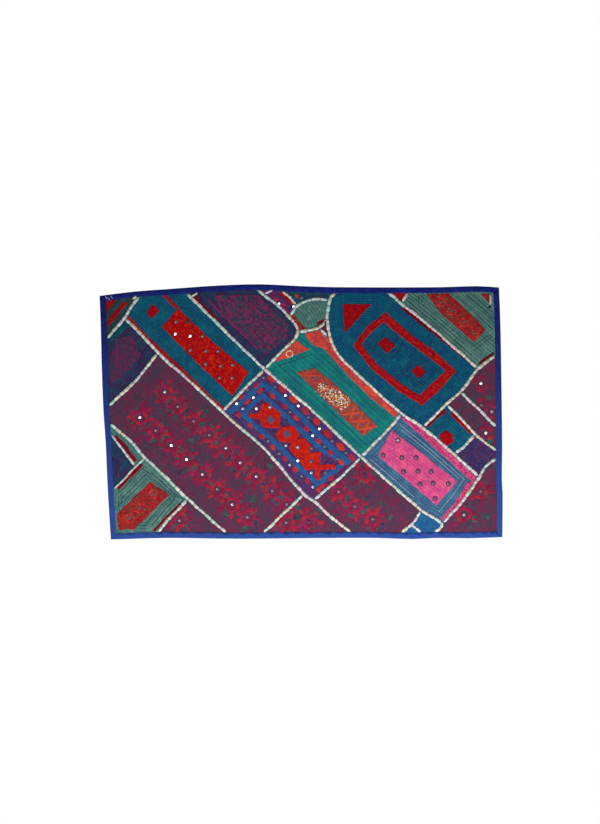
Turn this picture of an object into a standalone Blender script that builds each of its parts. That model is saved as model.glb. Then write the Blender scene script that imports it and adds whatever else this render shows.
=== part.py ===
"""A patchwork wall hanging: pieced patches, a folded binding on four sides and braids sewn over the seams.

Places in the tables are in millimetres, seen from the front: x to the right and z up from the middle of
the top edge. Everything is laid out flat, front side up, and the parent empty then stands it upright, with
its front towards -Y.
"""

import math

import bmesh
import bpy
from mathutils import Vector
from mathutils.geometry import interpolate_bezier, intersect_point_line

MM = 0.001

# Cloth and trim sizes, in millimetres
PATCH_THICKNESS = 2.0
PATCH_CROWN = 0.8
CROWN_STARTS, CROWN_FULL = 20.0, 60.0
SEAM_GAP = 0.4
EDGE_STEP = 36.0
GRID_STEP = 52.0
RAW_EDGE_INSET = 3.6

BINDING_SHOWS = 22.0
BINDING_THICKNESS = 1.2
BINDING_CLEARANCE = 0.5
BINDING_FOLD = 2.2
BINDING_STEP = 50.0

BRAID_HALF_WIDTH = 7.0
BRAID_HEIGHT = 5.0
BRAID_SHOULDER = 0.62
BRAID_CLEARANCE = 0.6
LUMP_LENGTH = 25.0
LUMP_WAIST = 0.74
LUMP_END = 0.45
LUMP_UNEVEN = 0.10
END_GAP = 1.0

WELD = 0.00001
FRONT_SIDE = Vector((0, 0, 1))

# How far the cloth stands off the wall: height and length of each soft wave, its direction and its start
WAVES = (
    {"height": 3.2, "length": 820.0, "turn": 12.0, "start": 0.6},
    {"height": 1.9, "length": 560.0, "turn": -38.0, "start": 2.1},
    {"height": 1.1, "length": 430.0, "turn": 64.0, "start": 4.0},
)
WAVE_AT_TOP, WAVE_FULL_AT = 0.35, 420.0

# The outer edge, a side at a time, each from corner to corner and clockwise
SIDES = {
    "top": ((-764, -37), (-625, -20), (-515, -12), (-320, 2), (-154, 7), (0, 0), (135, -4), (530, -4),
            (670, 0), (754, -5)),
    "right": ((754, -5), (759, -133), (763, -323), (766, -608), (765, -737), (768, -790), (767, -954)),
    "bottom": ((767, -954), (634, -958), (511, -957), (427, -961), (283, -957), (17, -958), (-250, -960),
               (-515, -957), (-721, -963)),
    "left": ((-721, -963), (-733, -763), (-741, -589), (-749, -482), (-755, -323), (-760, -133),
             (-764, -37)),
}
INWARDS = {"top": (0, -1), "right": (-1, 0), "bottom": (0, 1), "left": (1, 0)}
CORNERS = {
    "TL": ("left", "top"), "TR": ("top", "right"), "BR": ("right", "bottom"), "BL": ("bottom", "left"),
}

# Where a seam reaches a side: the side, and the place along it, x on top and bottom and z on left and right
SEAM_ENDS = {
    "A0": ("top", -612), "D0": ("top", -432), "F0": ("top", -166), "V0": ("top", -73), "M0": ("top", 142),
    "O0": ("top", 328), "Q0": ("top", 408),
    "P0": ("right", -264), "R1": ("right", -535), "S1": ("right", -626), "N0": ("right", -655),
    "D1": ("bottom", 505), "E1": ("bottom", 382), "B1": ("bottom", 192), "H1": ("bottom", -141),
    "I1": ("bottom", -282), "J1": ("bottom", -541),
    "K1": ("left", -771), "L0": ("left", -564), "I0": ("left", -525), "C1": ("left", -456),
    "A1": ("left", -200),
}

# Where seams meet or bend inside the hanging, as x and z
MEETINGS = {
    "AB": (-669, -119), "BC": (-540, -254), "BF": (-297, -477), "BH": (13, -790), "BG": (48, -814),
    "DF": (-136, -316), "DU": (230, -649), "DE": (460, -851), "DN": (537, -904), "EF": (425, -902),
    "FW": (-44, -117), "FX": (-12, -176), "VW": (-13, -75), "MW": (111, -53), "MX": (101, -123),
    "XY": (71, -158), "MY": (116, -205), "MB": (150, -268), "MU": (385, -484), "MP": (465, -537),
    "MT": (585, -639), "MN": (679, -725), "OQ": (383, -66), "OP": (675, -313), "PR": (606, -401),
    "PS": (553, -450), "ST": (665, -564), "IK": (-591, -651), "IJ": (-427, -810), "KL": (-628, -687),
}

# Each seam from its upper end down: its places, and how far each stretch bows to the left of the way it runs
SEAMS = {
    "a": ("A0 AB A1", (-4, 0)),
    "b": ("AB BC BF BH BG B1", (0, 2, 13, 0, -4)),
    "c": ("BC C1", (8,)),
    "d": ("D0 DF DU DE DN D1", (0, 6, 0, 0, 6)),
    "e": ("DE EF E1", (0, 0)),
    "f": ("F0 FW FX DF", (5, 0, 4)),
    "f_low": ("DF BF", (-3,)),
    "g": ("DU BG", (5,)),
    "h": ("BH H1", (0,)),
    "i": ("I0 IK IJ I1", (9, 2, 0)),
    "j": ("IJ J1", (-4,)),
    "k": ("IK KL K1", (0, 2)),
    "l": ("L0 KL", (2,)),
    "m": ("M0 MW MX MY MB MU MP MT MN", (-8, 0, 0, 0, -3, 0, 0, 0)),
    "n": ("N0 MN DN", (-8, 7)),
    "o": ("O0 OQ OP", (4, 5)),
    "p": ("P0 OP PR PS MP", (0, 2, 0, 0)),
    "q": ("Q0 OQ", (0,)),
    "r": ("PR R1", (2,)),
    "s": ("PS ST S1", (4, 0)),
    "t": ("ST MT", (3,)),
    "u": ("MU DU", (2,)),
    "v": ("V0 VW", (4,)),
    "w": ("FW VW MW", (0, 14)),
    "x": ("FX XY MX", (0, 0)),
    "y": ("XY MY", (0,)),
}

# The one braid that follows no seam, at the top right corner
CORNER_BRAID = ((720, -34), (722, -52), (721, -70))

# Each patch: its colour, and the places around it
PATCHES = {
    "corner_upper_left": ("dark_green", "TL A0 AB A1"),
    "upper_left": ("plum", "A1 AB BC C1"),
    "teal_long": ("teal", "A0 D0 DF BF BC AB"),
    "plum_long": ("plum", "D0 F0 FW FX DF"),
    "blue_sliver": ("blue", "F0 V0 VW FW"),
    "top_triangle": ("dark_teal", "V0 M0 MW VW"),
    "sage_small": ("sage", "FW VW MW MX XY FX"),
    "maroon_triangle": ("maroon", "XY MX MY"),
    "emerald": ("emerald", "FX XY MY MB MU DU DF"),
    "petrol": ("dark_teal", "M0 O0 OQ OP PR PS MP MU MB MY MX MW"),
    "red_triangle": ("red", "O0 Q0 OQ"),
    "sage_right": ("sage", "Q0 TR P0 OP OQ"),
    "burgundy_right_upper": ("burgundy", "P0 R1 PR OP"),
    "burgundy_right": ("burgundy", "PR R1 S1 ST PS"),
    "teal_diamond": ("teal", "PS ST MT MP"),
    "navy_small": ("navy", "ST S1 N0 MN MT"),
    "pink_centre": ("slate", "MU MP MT MN DN DE DU"),
    "blue_pot": ("blue", "DE DN D1 E1 EF"),
    "corner_lower_right": ("burgundy", "N0 BR D1 DN MN"),
    "burgundy_low_middle": ("burgundy", "DU DE EF E1 B1 BG"),
    "blue_mirrored": ("blue", "DF DU BG BH BF"),
    "burgundy_low": ("burgundy", "BH BG B1 H1"),
    "burgundy_big": ("burgundy", "BC BF BH H1 I1 IJ IK I0 C1"),
    "sage_sliver": ("sage", "I0 IK KL L0"),
    "left_small": ("plum", "L0 KL K1"),
    "corner_lower_left": ("sage", "K1 KL IK IJ J1 BL"),
    "burgundy_triangle": ("burgundy", "IJ I1 J1"),
}

COLOURS = {
    "dark_green": (0.010, 0.055, 0.060),
    "plum": (0.110, 0.016, 0.080),
    "teal": (0.004, 0.075, 0.120),
    "dark_teal": (0.004, 0.050, 0.080),
    "blue": (0.018, 0.110, 0.330),
    "sage": (0.070, 0.220, 0.170),
    "maroon": (0.150, 0.012, 0.020),
    "emerald": (0.006, 0.170, 0.140),
    "red": (0.400, 0.014, 0.014),
    "burgundy": (0.160, 0.022, 0.060),
    "navy": (0.020, 0.022, 0.110),
    "slate": (0.060, 0.140, 0.230),
    "binding": (0.016, 0.032, 0.230),
    "braid": (0.600, 0.680, 0.640),
}
CLOTH_ROUGHNESS = 0.85
BRAID_ROUGHNESS = 0.7


def clear_scene():
    for item in list(bpy.data.objects):
        bpy.data.objects.remove(item)


def material(colour, roughness):
    found = bpy.data.materials.get(colour)
    if found:
        return found
    made = bpy.data.materials.new(colour)
    made.use_nodes = True
    shader = made.node_tree.nodes["Principled BSDF"]
    shader.inputs["Base Color"].default_value = (*COLOURS[colour], 1.0)
    shader.inputs["Roughness"].default_value = roughness
    shader.inputs["Metallic"].default_value = 0.0
    return made


def stand_off(x, z):
    """How far the cloth at x and z, in millimetres, stands in front of the top edge's middle."""

    def waves(x, z):
        total = 0.0
        for wave in WAVES:
            turn = math.radians(wave["turn"])
            along = x * math.cos(turn) + z * math.sin(turn)
            total += wave["height"] * math.sin(2 * math.pi * along / wave["length"] + wave["start"])
        return total

    grown = min(max(-z / WAVE_FULL_AT, 0.0), 1.0)
    grown = WAVE_AT_TOP + (1 - WAVE_AT_TOP) * grown * grown * (3 - 2 * grown)
    return waves(x, z) * grown - waves(0, 0) * WAVE_AT_TOP


def smooth_run(stops, step):
    """Points on a smooth line through the stops, about one step apart, and the index of each stop."""
    points = [stops[0]]
    marks = [0]
    for i in range(len(stops) - 1):
        before = stops[max(i - 1, 0)]
        start, end = stops[i], stops[i + 1]
        after = stops[min(i + 2, len(stops) - 1)]
        reach = (end - start).length / 3
        leaving = (end - before).normalized() * reach
        arriving = (after - start).normalized() * reach
        count = max(1, round((end - start).length / step))
        stretch = interpolate_bezier(start, start + leaving, end - arriving, end, count + 1)
        points += [point.to_2d() for point in stretch[1:]]
        marks.append(len(points) - 1)
    return points, marks


def side_point(side, along, inset):
    """The point at a place along a side, moved inwards from the outer edge."""
    axis = 0 if side in ("top", "bottom") else 1
    line = side_line(side)
    for start, end in zip(line, line[1:]):
        low, high = sorted((start[axis], end[axis]))
        if low <= along <= high:
            share = (along - start[axis]) / (end[axis] - start[axis])
            return start.lerp(end, share) + Vector(INWARDS[side]) * inset
    raise ValueError(f"{side} has no place {along}")


def side_line(side):
    return smooth_run([Vector(stop) for stop in SIDES[side]], EDGE_STEP)[0]


def corner_point(corner, inset):
    first, second = CORNERS[corner]
    place = Vector(SIDES[second][0])
    return place + (Vector(INWARDS[first]) + Vector(INWARDS[second])) * inset


def place(name):
    """A seam's place where it can be seen: a meeting, or the inner edge of the binding."""
    if name in MEETINGS:
        return Vector(MEETINGS[name])
    side, along = SEAM_ENDS[name]
    return side_point(side, along, BINDING_SHOWS)


def seam_run(seam, step):
    """Points along a whole seam, and the index of each of its named places."""
    names, bows = SEAMS[seam]
    places = [place(name) for name in names.split()]
    stops = [places[0]]
    for start, end, bow in zip(places, places[1:], bows):
        if bow:
            along = (end - start).normalized()
            stops.append((start + end) / 2 + Vector((-along.y, along.x)) * bow)
        stops.append(end)
    points, marks = smooth_run(stops, step)
    named = [mark for mark, stop in zip(marks, stops) if stop in places]
    return points, named


def seam_sections():
    """The stretch of seam between each two named places next to each other, both ways round."""
    sections = {}
    for seam, (names, _) in SEAMS.items():
        points, named = seam_run(seam, EDGE_STEP)
        names = names.split()
        for i in range(len(names) - 1):
            stretch = points[named[i]:named[i + 1] + 1]
            sections[names[i], names[i + 1]] = stretch
            sections[names[i + 1], names[i]] = stretch[::-1]
    return sections


def raw_edge():
    """The cut edge of the patches inside the binding, clockwise, each point with any name it has."""
    ring = []
    for corner, (_, side) in CORNERS.items():
        ring.append((corner, corner_point(corner, RAW_EDGE_INSET)))
        axis = 0 if side in ("top", "bottom") else 1
        line = side_line(side)
        marks = [(end, along) for end, (on, along) in SEAM_ENDS.items() if on == side]
        marks += [(None, point[axis]) for point in line[1:-1]
                  if all(abs(point[axis] - along) > EDGE_STEP / 3 for _, along in marks)]
        falling = line[0][axis] > line[-1][axis]
        marks.sort(key=lambda mark: mark[1], reverse=falling)
        ring += [(end, side_point(side, along, RAW_EDGE_INSET)) for end, along in marks]
    return ring


def edge_section(ring, first, last):
    """The raw edge between two of its named points, the short way round."""
    names = [name for name, _ in ring]
    count = len(ring)
    start, end = names.index(first), names.index(last)
    ahead = (end - start) % count
    step = 1 if ahead <= count / 2 else -1
    length = ahead if step == 1 else count - ahead
    return [ring[(start + step * i) % count][1] for i in range(length + 1)]


def moved_in(loop, gap):
    """A closed outline moved inwards by the gap."""
    area = sum(a.x * b.y - b.x * a.y for a, b in zip(loop, loop[1:] + loop[:1]))
    side = 1 if area > 0 else -1
    moved = []
    for before, here, after in zip(loop[-1:] + loop[:-1], loop, loop[1:] + loop[:1]):
        arriving = (here - before).normalized()
        leaving = (after - here).normalized()
        inwards = Vector((-arriving.y - leaving.y, arriving.x + leaving.x)).normalized() * side
        square = Vector((-arriving.y, arriving.x)) * side
        moved.append(here + inwards * gap / max(inwards.dot(square), 0.2))
    return moved


def patch_outline(names, sections, ring):
    loop = []
    names = names.split()
    for first, last in zip(names, names[1:] + names[:1]):
        stretch = sections.get((first, last)) or edge_section(ring, first, last)
        shared = loop and (loop[-1] - stretch[0]).length < SEAM_GAP
        loop += stretch[1:] if shared else stretch
    if (loop[0] - loop[-1]).length < SEAM_GAP:
        loop.pop()
    return moved_in(loop, SEAM_GAP / 2)


def flat_curve(name, points, closed, radii=None):
    """A 2D curve object through points in millimetres."""
    curve = bpy.data.curves.new(name, "CURVE")
    curve.dimensions = "2D"
    spline = curve.splines.new("POLY")
    spline.points.add(len(points) - 1)
    for i, point in enumerate(points):
        spline.points[i].co = (point[0] * MM, point[1] * MM, 0, 1)
        spline.points[i].radius = radii[i] if radii else 1.0
    spline.use_cyclic_u = closed
    item = bpy.data.objects.new(name, curve)
    bpy.context.scene.collection.objects.link(item)
    return item


def welded_mesh(item):
    """The mesh of a curve object as a bmesh, with its caps welded, the curve removed."""
    bpy.context.view_layer.update()
    evaluated = item.evaluated_get(bpy.context.evaluated_depsgraph_get())
    made = bpy.data.meshes.new_from_object(evaluated)
    bm = bmesh.new()
    bm.from_mesh(made)
    bmesh.ops.remove_doubles(bm, verts=bm.verts, dist=WELD)
    bpy.data.meshes.remove(made)
    bpy.data.objects.remove(item)
    return bm


def finished(name, bm, colour, roughness, hanging, collection):
    """The named object made from a bmesh and hung from the parent empty."""
    for vert in bm.verts:
        vert.co.z += stand_off(vert.co.x / MM, vert.co.y / MM) * MM
    bmesh.ops.triangulate(bm, faces=bm.faces)
    bmesh.ops.recalc_face_normals(bm, faces=bm.faces)
    mesh = bpy.data.meshes.new(name)
    bm.to_mesh(mesh)
    bm.free()
    mesh.materials.append(material(colour, roughness))
    item = bpy.data.objects.new(name, mesh)
    item.parent = hanging
    collection.objects.link(item)
    return item


def crown_height(x, y, loop):
    """How far the middle of a patch stands above its seams."""
    here = Vector((x, y))
    nearest = math.inf
    for start, end in zip(loop, loop[1:] + loop[:1]):
        foot, share = intersect_point_line(here, start, end)
        share = min(max(share, 0.0), 1.0)
        nearest = min(nearest, (here - start.lerp(end, share)).length)
    grown = min(max((nearest - CROWN_STARTS) / (CROWN_FULL - CROWN_STARTS), 0.0), 1.0)
    return PATCH_CROWN * grown * grown * (3 - 2 * grown)


def cut_in_cells(bm, loop):
    """Cuts a flat patch along an even grid, so that it can follow the folds."""
    for axis in (0, 1):
        low = min(point[axis] for point in loop)
        high = max(point[axis] for point in loop)
        line = math.ceil(low / GRID_STEP)
        while line * GRID_STEP < high:
            through = Vector((0, 0, 0))
            through[axis] = line * GRID_STEP * MM
            square = Vector((0, 0, 0))
            square[axis] = 1
            bmesh.ops.bisect_plane(bm, geom=bm.verts[:] + bm.edges[:] + bm.faces[:], dist=SEAM_GAP * MM,
                                   plane_co=through, plane_no=square)
            line += 1


def make_patch(name, colour, loop, hanging, collection):
    item = flat_curve(name, loop, closed=True)
    item.data.fill_mode = "BOTH"
    item.data.extrude = PATCH_THICKNESS / 2 * MM
    bm = welded_mesh(item)
    inner = [edge for edge in bm.edges
             if len(edge.link_faces) == 2 and all(abs(face.normal.z) > 0.5 for face in edge.link_faces)]
    bmesh.ops.dissolve_edges(bm, edges=inner, use_verts=False)
    cut_in_cells(bm, loop)
    for vert in bm.verts:
        if vert.co.z > 0:
            vert.co.z += crown_height(vert.co.x / MM, vert.co.y / MM, loop) * MM
    return finished(f"patch_{name}", bm, colour, CLOTH_ROUGHNESS, hanging, collection)


def swept(name, points, section, radii=None):
    """A closed section carried along a line, its height standing up from the flat layout."""
    profile = flat_curve(f"{name}_section", section, closed=True)
    item = flat_curve(name, points, closed=False, radii=radii)
    item.data.bevel_mode = "OBJECT"
    item.data.bevel_object = profile
    item.data.use_fill_caps = True
    item.data.fill_mode = "NONE"
    bm = welded_mesh(item)
    bpy.data.objects.remove(profile)
    return bm


def binding_section():
    """A strip folded over the raw edge: across from the outer edge, and up from the cloth's middle."""
    inside = PATCH_THICKNESS / 2 + BINDING_CLEARANCE
    outside = inside + BINDING_THICKNESS
    bend = BINDING_THICKNESS
    half = [(BINDING_SHOWS, inside), (BINDING_SHOWS, outside), (bend, outside), (0, inside)]
    back = [(across, -up) for across, up in half[::-1]]
    fold = [(BINDING_FOLD, -inside), (BINDING_FOLD, inside)]
    return half + back + fold


def make_binding(side, hanging, collection):
    stops = [Vector(stop) for stop in SIDES[side]]
    points = smooth_run(stops, BINDING_STEP)[0]
    longer = BINDING_SHOWS * 2
    points[0] = points[0] + (points[0] - points[1]).normalized() * longer
    points[-1] = points[-1] + (points[-1] - points[-2]).normalized() * longer
    bm = swept(f"binding_{side}", points, binding_section())
    for corner, sides in CORNERS.items():
        if side not in sides:
            continue
        outer = corner_point(corner, 0)
        inner = corner_point(corner, BINDING_SHOWS)
        mitre = (inner - outer).normalized()
        square = Vector((-mitre.y, mitre.x, 0))
        middle = (stops[0] + stops[-1]).to_3d() / 2
        if (middle - outer.to_3d()).dot(square) > 0:
            square.negate()
        cut_at = outer.to_3d() - square * SEAM_GAP / 2
        bmesh.ops.bisect_plane(bm, geom=bm.verts[:] + bm.edges[:] + bm.faces[:], dist=WELD,
                               plane_co=cut_at * MM, plane_no=square, clear_outer=True)
        bmesh.ops.holes_fill(bm, edges=[edge for edge in bm.edges if edge.is_boundary])
    return finished(f"binding_{side}", bm, "binding", CLOTH_ROUGHNESS, hanging, collection)


def braid_section():
    """Half a flattened round: its flat side down, just above the cloth."""
    foot, shoulder = BRAID_HALF_WIDTH, BRAID_HALF_WIDTH * BRAID_SHOULDER
    return [(-foot, 0), (foot, 0), (shoulder, BRAID_HEIGHT), (-shoulder, BRAID_HEIGHT)]


def heading_at(points, mark):
    before = points[max(mark - 1, 0)]
    after = points[min(mark + 1, len(points) - 1)]
    return (after - before).normalized()


def end_trim(seam, name, heading):
    """How far a braid stops short of the braid or the binding that it meets."""
    if name in SEAM_ENDS:
        side = SEAM_ENDS[name][0]
        inwards = Vector(INWARDS[side])
        other, other_half = Vector((inwards.y, inwards.x)), 0.0
    else:
        through = next(key for key, (names, _) in SEAMS.items()
                       if key != seam and name in names.split()[1:-1])
        points, named = seam_run(through, LUMP_LENGTH / 2)
        mark = named[SEAMS[through][0].split().index(name)]
        other, other_half = heading_at(points, mark), BRAID_HALF_WIDTH * (1 + LUMP_UNEVEN)
    slope = min(abs(heading.dot(other)), 0.95)
    rise = math.sqrt(1 - slope * slope)
    own_full = BRAID_HALF_WIDTH * (1 + LUMP_UNEVEN)
    at_end = (other_half + own_full * LUMP_END * slope) / rise
    at_full = (other_half + own_full * slope) / rise - LUMP_LENGTH / 2
    return max(at_end, at_full) + END_GAP


def trimmed(points, first_trim, last_trim):
    """A line shortened at both ends and divided into even half lumps."""
    lengths = [0.0]
    for start, end in zip(points, points[1:]):
        lengths.append(lengths[-1] + (end - start).length)
    first, last = first_trim, lengths[-1] - last_trim
    lumps = max(1, round((last - first) / LUMP_LENGTH))
    marks = [first + (last - first) * i / (2 * lumps) for i in range(2 * lumps + 1)]
    line = []
    for mark in marks:
        i = max(k for k, length in enumerate(lengths[:-1]) if length <= mark)
        share = (mark - lengths[i]) / (lengths[i + 1] - lengths[i])
        line.append(points[i].lerp(points[i + 1], share))
    return line


def lump_sizes(count, seed):
    """The size of the braid at each half lump: full, waist, full, and small at both ends."""
    sizes = []
    for i in range(count):
        uneven = LUMP_UNEVEN * math.sin(2.4 * i * i + seed)
        sizes.append((1.0 if i % 2 else LUMP_WAIST) * (1 + uneven))
    sizes[0] = sizes[-1] = LUMP_END
    return sizes


def make_braid(name, line, seed, hanging, collection):
    bm = swept(f"braid_{name}", line, braid_section(), lump_sizes(len(line), seed))
    lift = PATCH_THICKNESS / 2 + BRAID_CLEARANCE
    bmesh.ops.translate(bm, verts=bm.verts, vec=FRONT_SIDE * lift * MM)
    return finished(f"braid_{name}", bm, "braid", BRAID_ROUGHNESS, hanging, collection)


def make_seam_braid(seam, seed, hanging, collection):
    names = SEAMS[seam][0].split()
    points, _ = seam_run(seam, LUMP_LENGTH / 2)
    first_trim = end_trim(seam, names[0], heading_at(points, 0))
    last_trim = end_trim(seam, names[-1], heading_at(points, len(points) - 1))
    line = trimmed(points, first_trim, last_trim)
    return make_braid(seam, line, seed, hanging, collection)


def build():
    clear_scene()
    collection = bpy.data.collections.new("patchwork_wall_hanging")
    bpy.context.scene.collection.children.link(collection)
    hanging = bpy.data.objects.new("hanging_top_middle", None)
    hanging.rotation_euler.x = math.radians(90)
    collection.objects.link(hanging)

    sections = seam_sections()
    ring = raw_edge()
    for name, (colour, names) in PATCHES.items():
        make_patch(name, colour, patch_outline(names, sections, ring), hanging, collection)
    for side in SIDES:
        make_binding(side, hanging, collection)
    for seed, seam in enumerate(SEAMS):
        make_seam_braid(seam, seed, hanging, collection)
    make_braid("corner", [Vector(stop) for stop in CORNER_BRAID], len(SEAMS), hanging, collection)


build()
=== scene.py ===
import math
import random

import bmesh
import bpy
import numpy as np
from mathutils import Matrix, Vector
from mathutils.bvhtree import BVHTree
from mathutils.geometry import interpolate_bezier


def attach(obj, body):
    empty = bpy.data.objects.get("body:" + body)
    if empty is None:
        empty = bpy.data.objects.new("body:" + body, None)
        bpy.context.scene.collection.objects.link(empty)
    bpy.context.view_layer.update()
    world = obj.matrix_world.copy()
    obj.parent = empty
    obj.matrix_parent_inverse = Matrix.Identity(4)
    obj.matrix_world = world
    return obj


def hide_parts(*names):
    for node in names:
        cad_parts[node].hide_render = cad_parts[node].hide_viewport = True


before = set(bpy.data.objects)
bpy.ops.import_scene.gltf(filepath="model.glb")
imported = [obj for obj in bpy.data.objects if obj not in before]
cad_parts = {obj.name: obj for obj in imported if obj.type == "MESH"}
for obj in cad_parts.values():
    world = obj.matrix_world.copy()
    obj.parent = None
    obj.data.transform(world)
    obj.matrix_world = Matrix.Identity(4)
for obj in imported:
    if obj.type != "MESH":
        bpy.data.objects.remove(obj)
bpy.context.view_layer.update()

bpy.ops.object.select_all(action="DESELECT")

# How the cloth hangs. It is held along its top edge and stands off the wall in three shallow waves, weak at
# the top and full from 420 mm down. Sizes here and below are in millimetres, x to the right, z up from the
# top edge.
MM = 0.001
WAVES = (
    {"height": 3.2, "length": 820.0, "turn": 12.0, "start": 0.6},
    {"height": 1.9, "length": 560.0, "turn": -38.0, "start": 2.1},
    {"height": 1.1, "length": 430.0, "turn": 64.0, "start": 4.0},
)
WAVE_AT_TOP, WAVE_FULL_AT = 0.35, 420.0


def smooth(share):
    """A share from 0 to 1 that starts and ends gently."""
    share = np.clip(share, 0.0, 1.0)
    return share * share * (3 - 2 * share)


def hang(x, z):
    """How far the middle of the cloth at x and z stands in front of the top edge's middle."""

    def waves(x, z):
        """The sum of the waves at x and z."""
        total = 0.0
        for wave in WAVES:
            turn = math.radians(wave["turn"])
            along = x * math.cos(turn) + z * math.sin(turn)
            total = total + wave["height"] * np.sin(2 * math.pi * along / wave["length"] + wave["start"])
        return total

    grown = WAVE_AT_TOP + (1 - WAVE_AT_TOP) * smooth(-z / WAVE_FULL_AT)
    return waves(x, z) * grown - waves(0.0, 0.0) * WAVE_AT_TOP


# The woven cloths. All are cotton or cotton satin of about 14 threads a centimetre, hand dyed, so their
# colour is uneven. Four effects are shared: the weave, the dye, the rows of quilting stitches and the
# mottled prints.
THREADS = 1400.0
SCREEN_GAMMA = 2.2
# The near-black that the grooves between quilted rows are darkened towards: painted shade.
GROOVE_SHADE_COLOUR = (0.0, 0.0, 0.004, 1.0)
SOOT = (0.0, 0.0, 0.0, 1.0)


def dye(red, green, blue):
    """A colour as it is mixed from screen values of 0 to 255."""
    return tuple((value / 255) ** SCREEN_GAMMA for value in (red, green, blue)) + (1.0,)


def put(tree, kind, inputs=None, **settings):
    """Adds a shader node, sets it, and fills or joins its inputs."""
    made = tree.nodes.new("ShaderNode" + kind)
    for name, value in settings.items():
        setattr(made, name, value)
    for socket, value in (inputs or {}).items():
        if isinstance(value, bpy.types.NodeSocket):
            tree.links.new(value, made.inputs[socket])
        else:
            made.inputs[socket].default_value = value
    return made


def maths(tree, operation, *values):
    """A sum or other step of arithmetic between values."""
    made = tree.nodes.new("ShaderNodeMath")
    made.operation = operation
    for socket, value in zip(made.inputs, values):
        if isinstance(value, bpy.types.NodeSocket):
            tree.links.new(value, socket)
        else:
            socket.default_value = value
    return made.outputs[0]


def mixed(tree, share, first, second, blend="MIX"):
    """A colour between two, or one laid over the other."""
    made = put(tree, "Mix", {0: share, 6: first, 7: second}, data_type="RGBA", blend_type=blend)
    return made.outputs[2]


def spread(tree, value, low, high, first=0.0, second=1.0):
    """A value run from first to second while another goes from low to high."""
    inputs = {0: value, 1: low, 2: high, 3: first, 4: second}
    return put(tree, "MapRange", inputs, interpolation_type="SMOOTHSTEP").outputs[0]


def times(tree, *values):
    """One value times another."""
    return maths(tree, "MULTIPLY", *values)


def plus(tree, *values):
    """One value and another."""
    return maths(tree, "ADD", *values)


def on_piece(tree):
    """The place on the piece, in metres."""
    return put(tree, "TexCoord").outputs["Object"]


def in_rows(tree):
    """The distances across and along the piece's own map of its rows."""
    return put(tree, "SeparateXYZ", {0: put(tree, "UVMap", uv_map="rows").outputs[0]}).outputs


def noise(tree, place, scale, detail=2.0):
    """A soft unevenness about 0.5."""
    return put(tree, "TexNoise", {"Vector": place, "Scale": scale, "Detail": detail}).outputs["Fac"]


def new_finish(name):
    """A new material, its nodes and its surface."""
    made = bpy.data.materials.new(name)
    made.use_nodes = True
    return made, made.node_tree, made.node_tree.nodes["Principled BSDF"]


def effect(name, takes, gives):
    """A new shared effect, with its named inputs and outputs."""
    group = bpy.data.node_groups.new(name, "ShaderNodeTree")
    for label, kind, value in takes:
        socket = group.interface.new_socket(label, in_out="INPUT", socket_type="NodeSocket" + kind)
        socket.default_value = value
    for label, kind in gives:
        group.interface.new_socket(label, in_out="OUTPUT", socket_type="NodeSocket" + kind)
    return group, group.nodes.new("NodeGroupInput").outputs, group.nodes.new("NodeGroupOutput").inputs


def plain_weave():
    """Threads over and under, with slubs along both ways."""
    takes = (("Threads", "Float", THREADS),)
    group, given, out = effect("plain weave", takes, (("Height", "Float"), ("Slub", "Float")))
    place = on_piece(group)
    ways = put(group, "SeparateXYZ", {0: place}).outputs
    turns = [times(group, ways[axis], given["Threads"]) for axis in ("X", "Z")]
    ridges = [maths(group, "SINE", times(group, turn, math.pi)) for turn in turns]
    across = put(group, "Mapping", {0: place, "Scale": (60, 60, 900)}).outputs[0]
    down = put(group, "Mapping", {0: place, "Scale": (900, 60, 60)}).outputs[0]
    slubs = [noise(group, way, 1.0) for way in (across, down)]
    slub = times(group, plus(group, *slubs), 0.5)
    weave = maths(group, "MULTIPLY_ADD", times(group, *ridges), 0.3, 0.5)
    group.links.new(maths(group, "MULTIPLY_ADD", slub, 0.6, weave), out["Height"])
    group.links.new(slub, out["Slub"])
    return group


def uneven_dye():
    """Three shades of one dye, in soft patches with a finer cloudiness inside them."""
    takes = (("Main", "Color", (1, 1, 1, 1)), ("Deep", "Color", (0, 0, 0, 1)),
             ("Pale", "Color", (1, 1, 1, 1)), ("Patch", "Float", 40.0))
    group, given, out = effect("uneven dye", takes, (("Color", "Color"),))
    place = on_piece(group)
    broad = noise(group, place, given["Patch"], 3.0)
    moved = put(group, "Mapping", {0: place, "Location": (3.1, 0, 1.7)}).outputs[0]
    finer = times(group, given["Patch"], 3.4)
    cloudy = noise(group, moved, finer)
    shade = mixed(group, spread(group, broad, 0.40, 0.66), given["Deep"], given["Main"])
    shade = mixed(group, spread(group, cloudy, 0.50, 0.78), shade, given["Pale"])
    group.links.new(shade, out["Color"])
    return group


def stitched_rows():
    """Rows of running stitches that pull the cloth into puffs, from the piece's own map of its rows."""
    takes = (("Spacing", "Float", 0.01), ("Stitch", "Float", 0.006), ("Wander", "Float", 0.0012))
    gives = (("Groove", "Float"), ("Thread", "Float"), ("Puff", "Float"))
    group, given, out = effect("stitched rows", takes, gives)
    rows = in_rows(group)
    place = on_piece(group)
    shaky = noise(group, place, 26.0, 1.0)
    shift = times(group, maths(group, "SUBTRACT", shaky, 0.5), given["Wander"])
    across = maths(group, "DIVIDE", plus(group, rows["X"], shift), given["Spacing"])
    middle = maths(group, "ABSOLUTE", maths(group, "SUBTRACT", maths(group, "FRACT", across), 0.5))
    near = times(group, middle, 2.0)
    groove = spread(group, near, 0.62, 1.0)
    dash = maths(group, "PINGPONG", maths(group, "DIVIDE", rows["Y"], given["Stitch"]), 1.0)
    thread = times(group, spread(group, near, 0.90, 0.96), spread(group, dash, 0.34, 0.44))
    puff = maths(group, "SUBTRACT", 1.0, maths(group, "POWER", near, 3.0))
    for value, label in ((groove, "Groove"), (thread, "Thread"), (puff, "Puff")):
        group.links.new(value, out[label])
    return group


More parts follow.
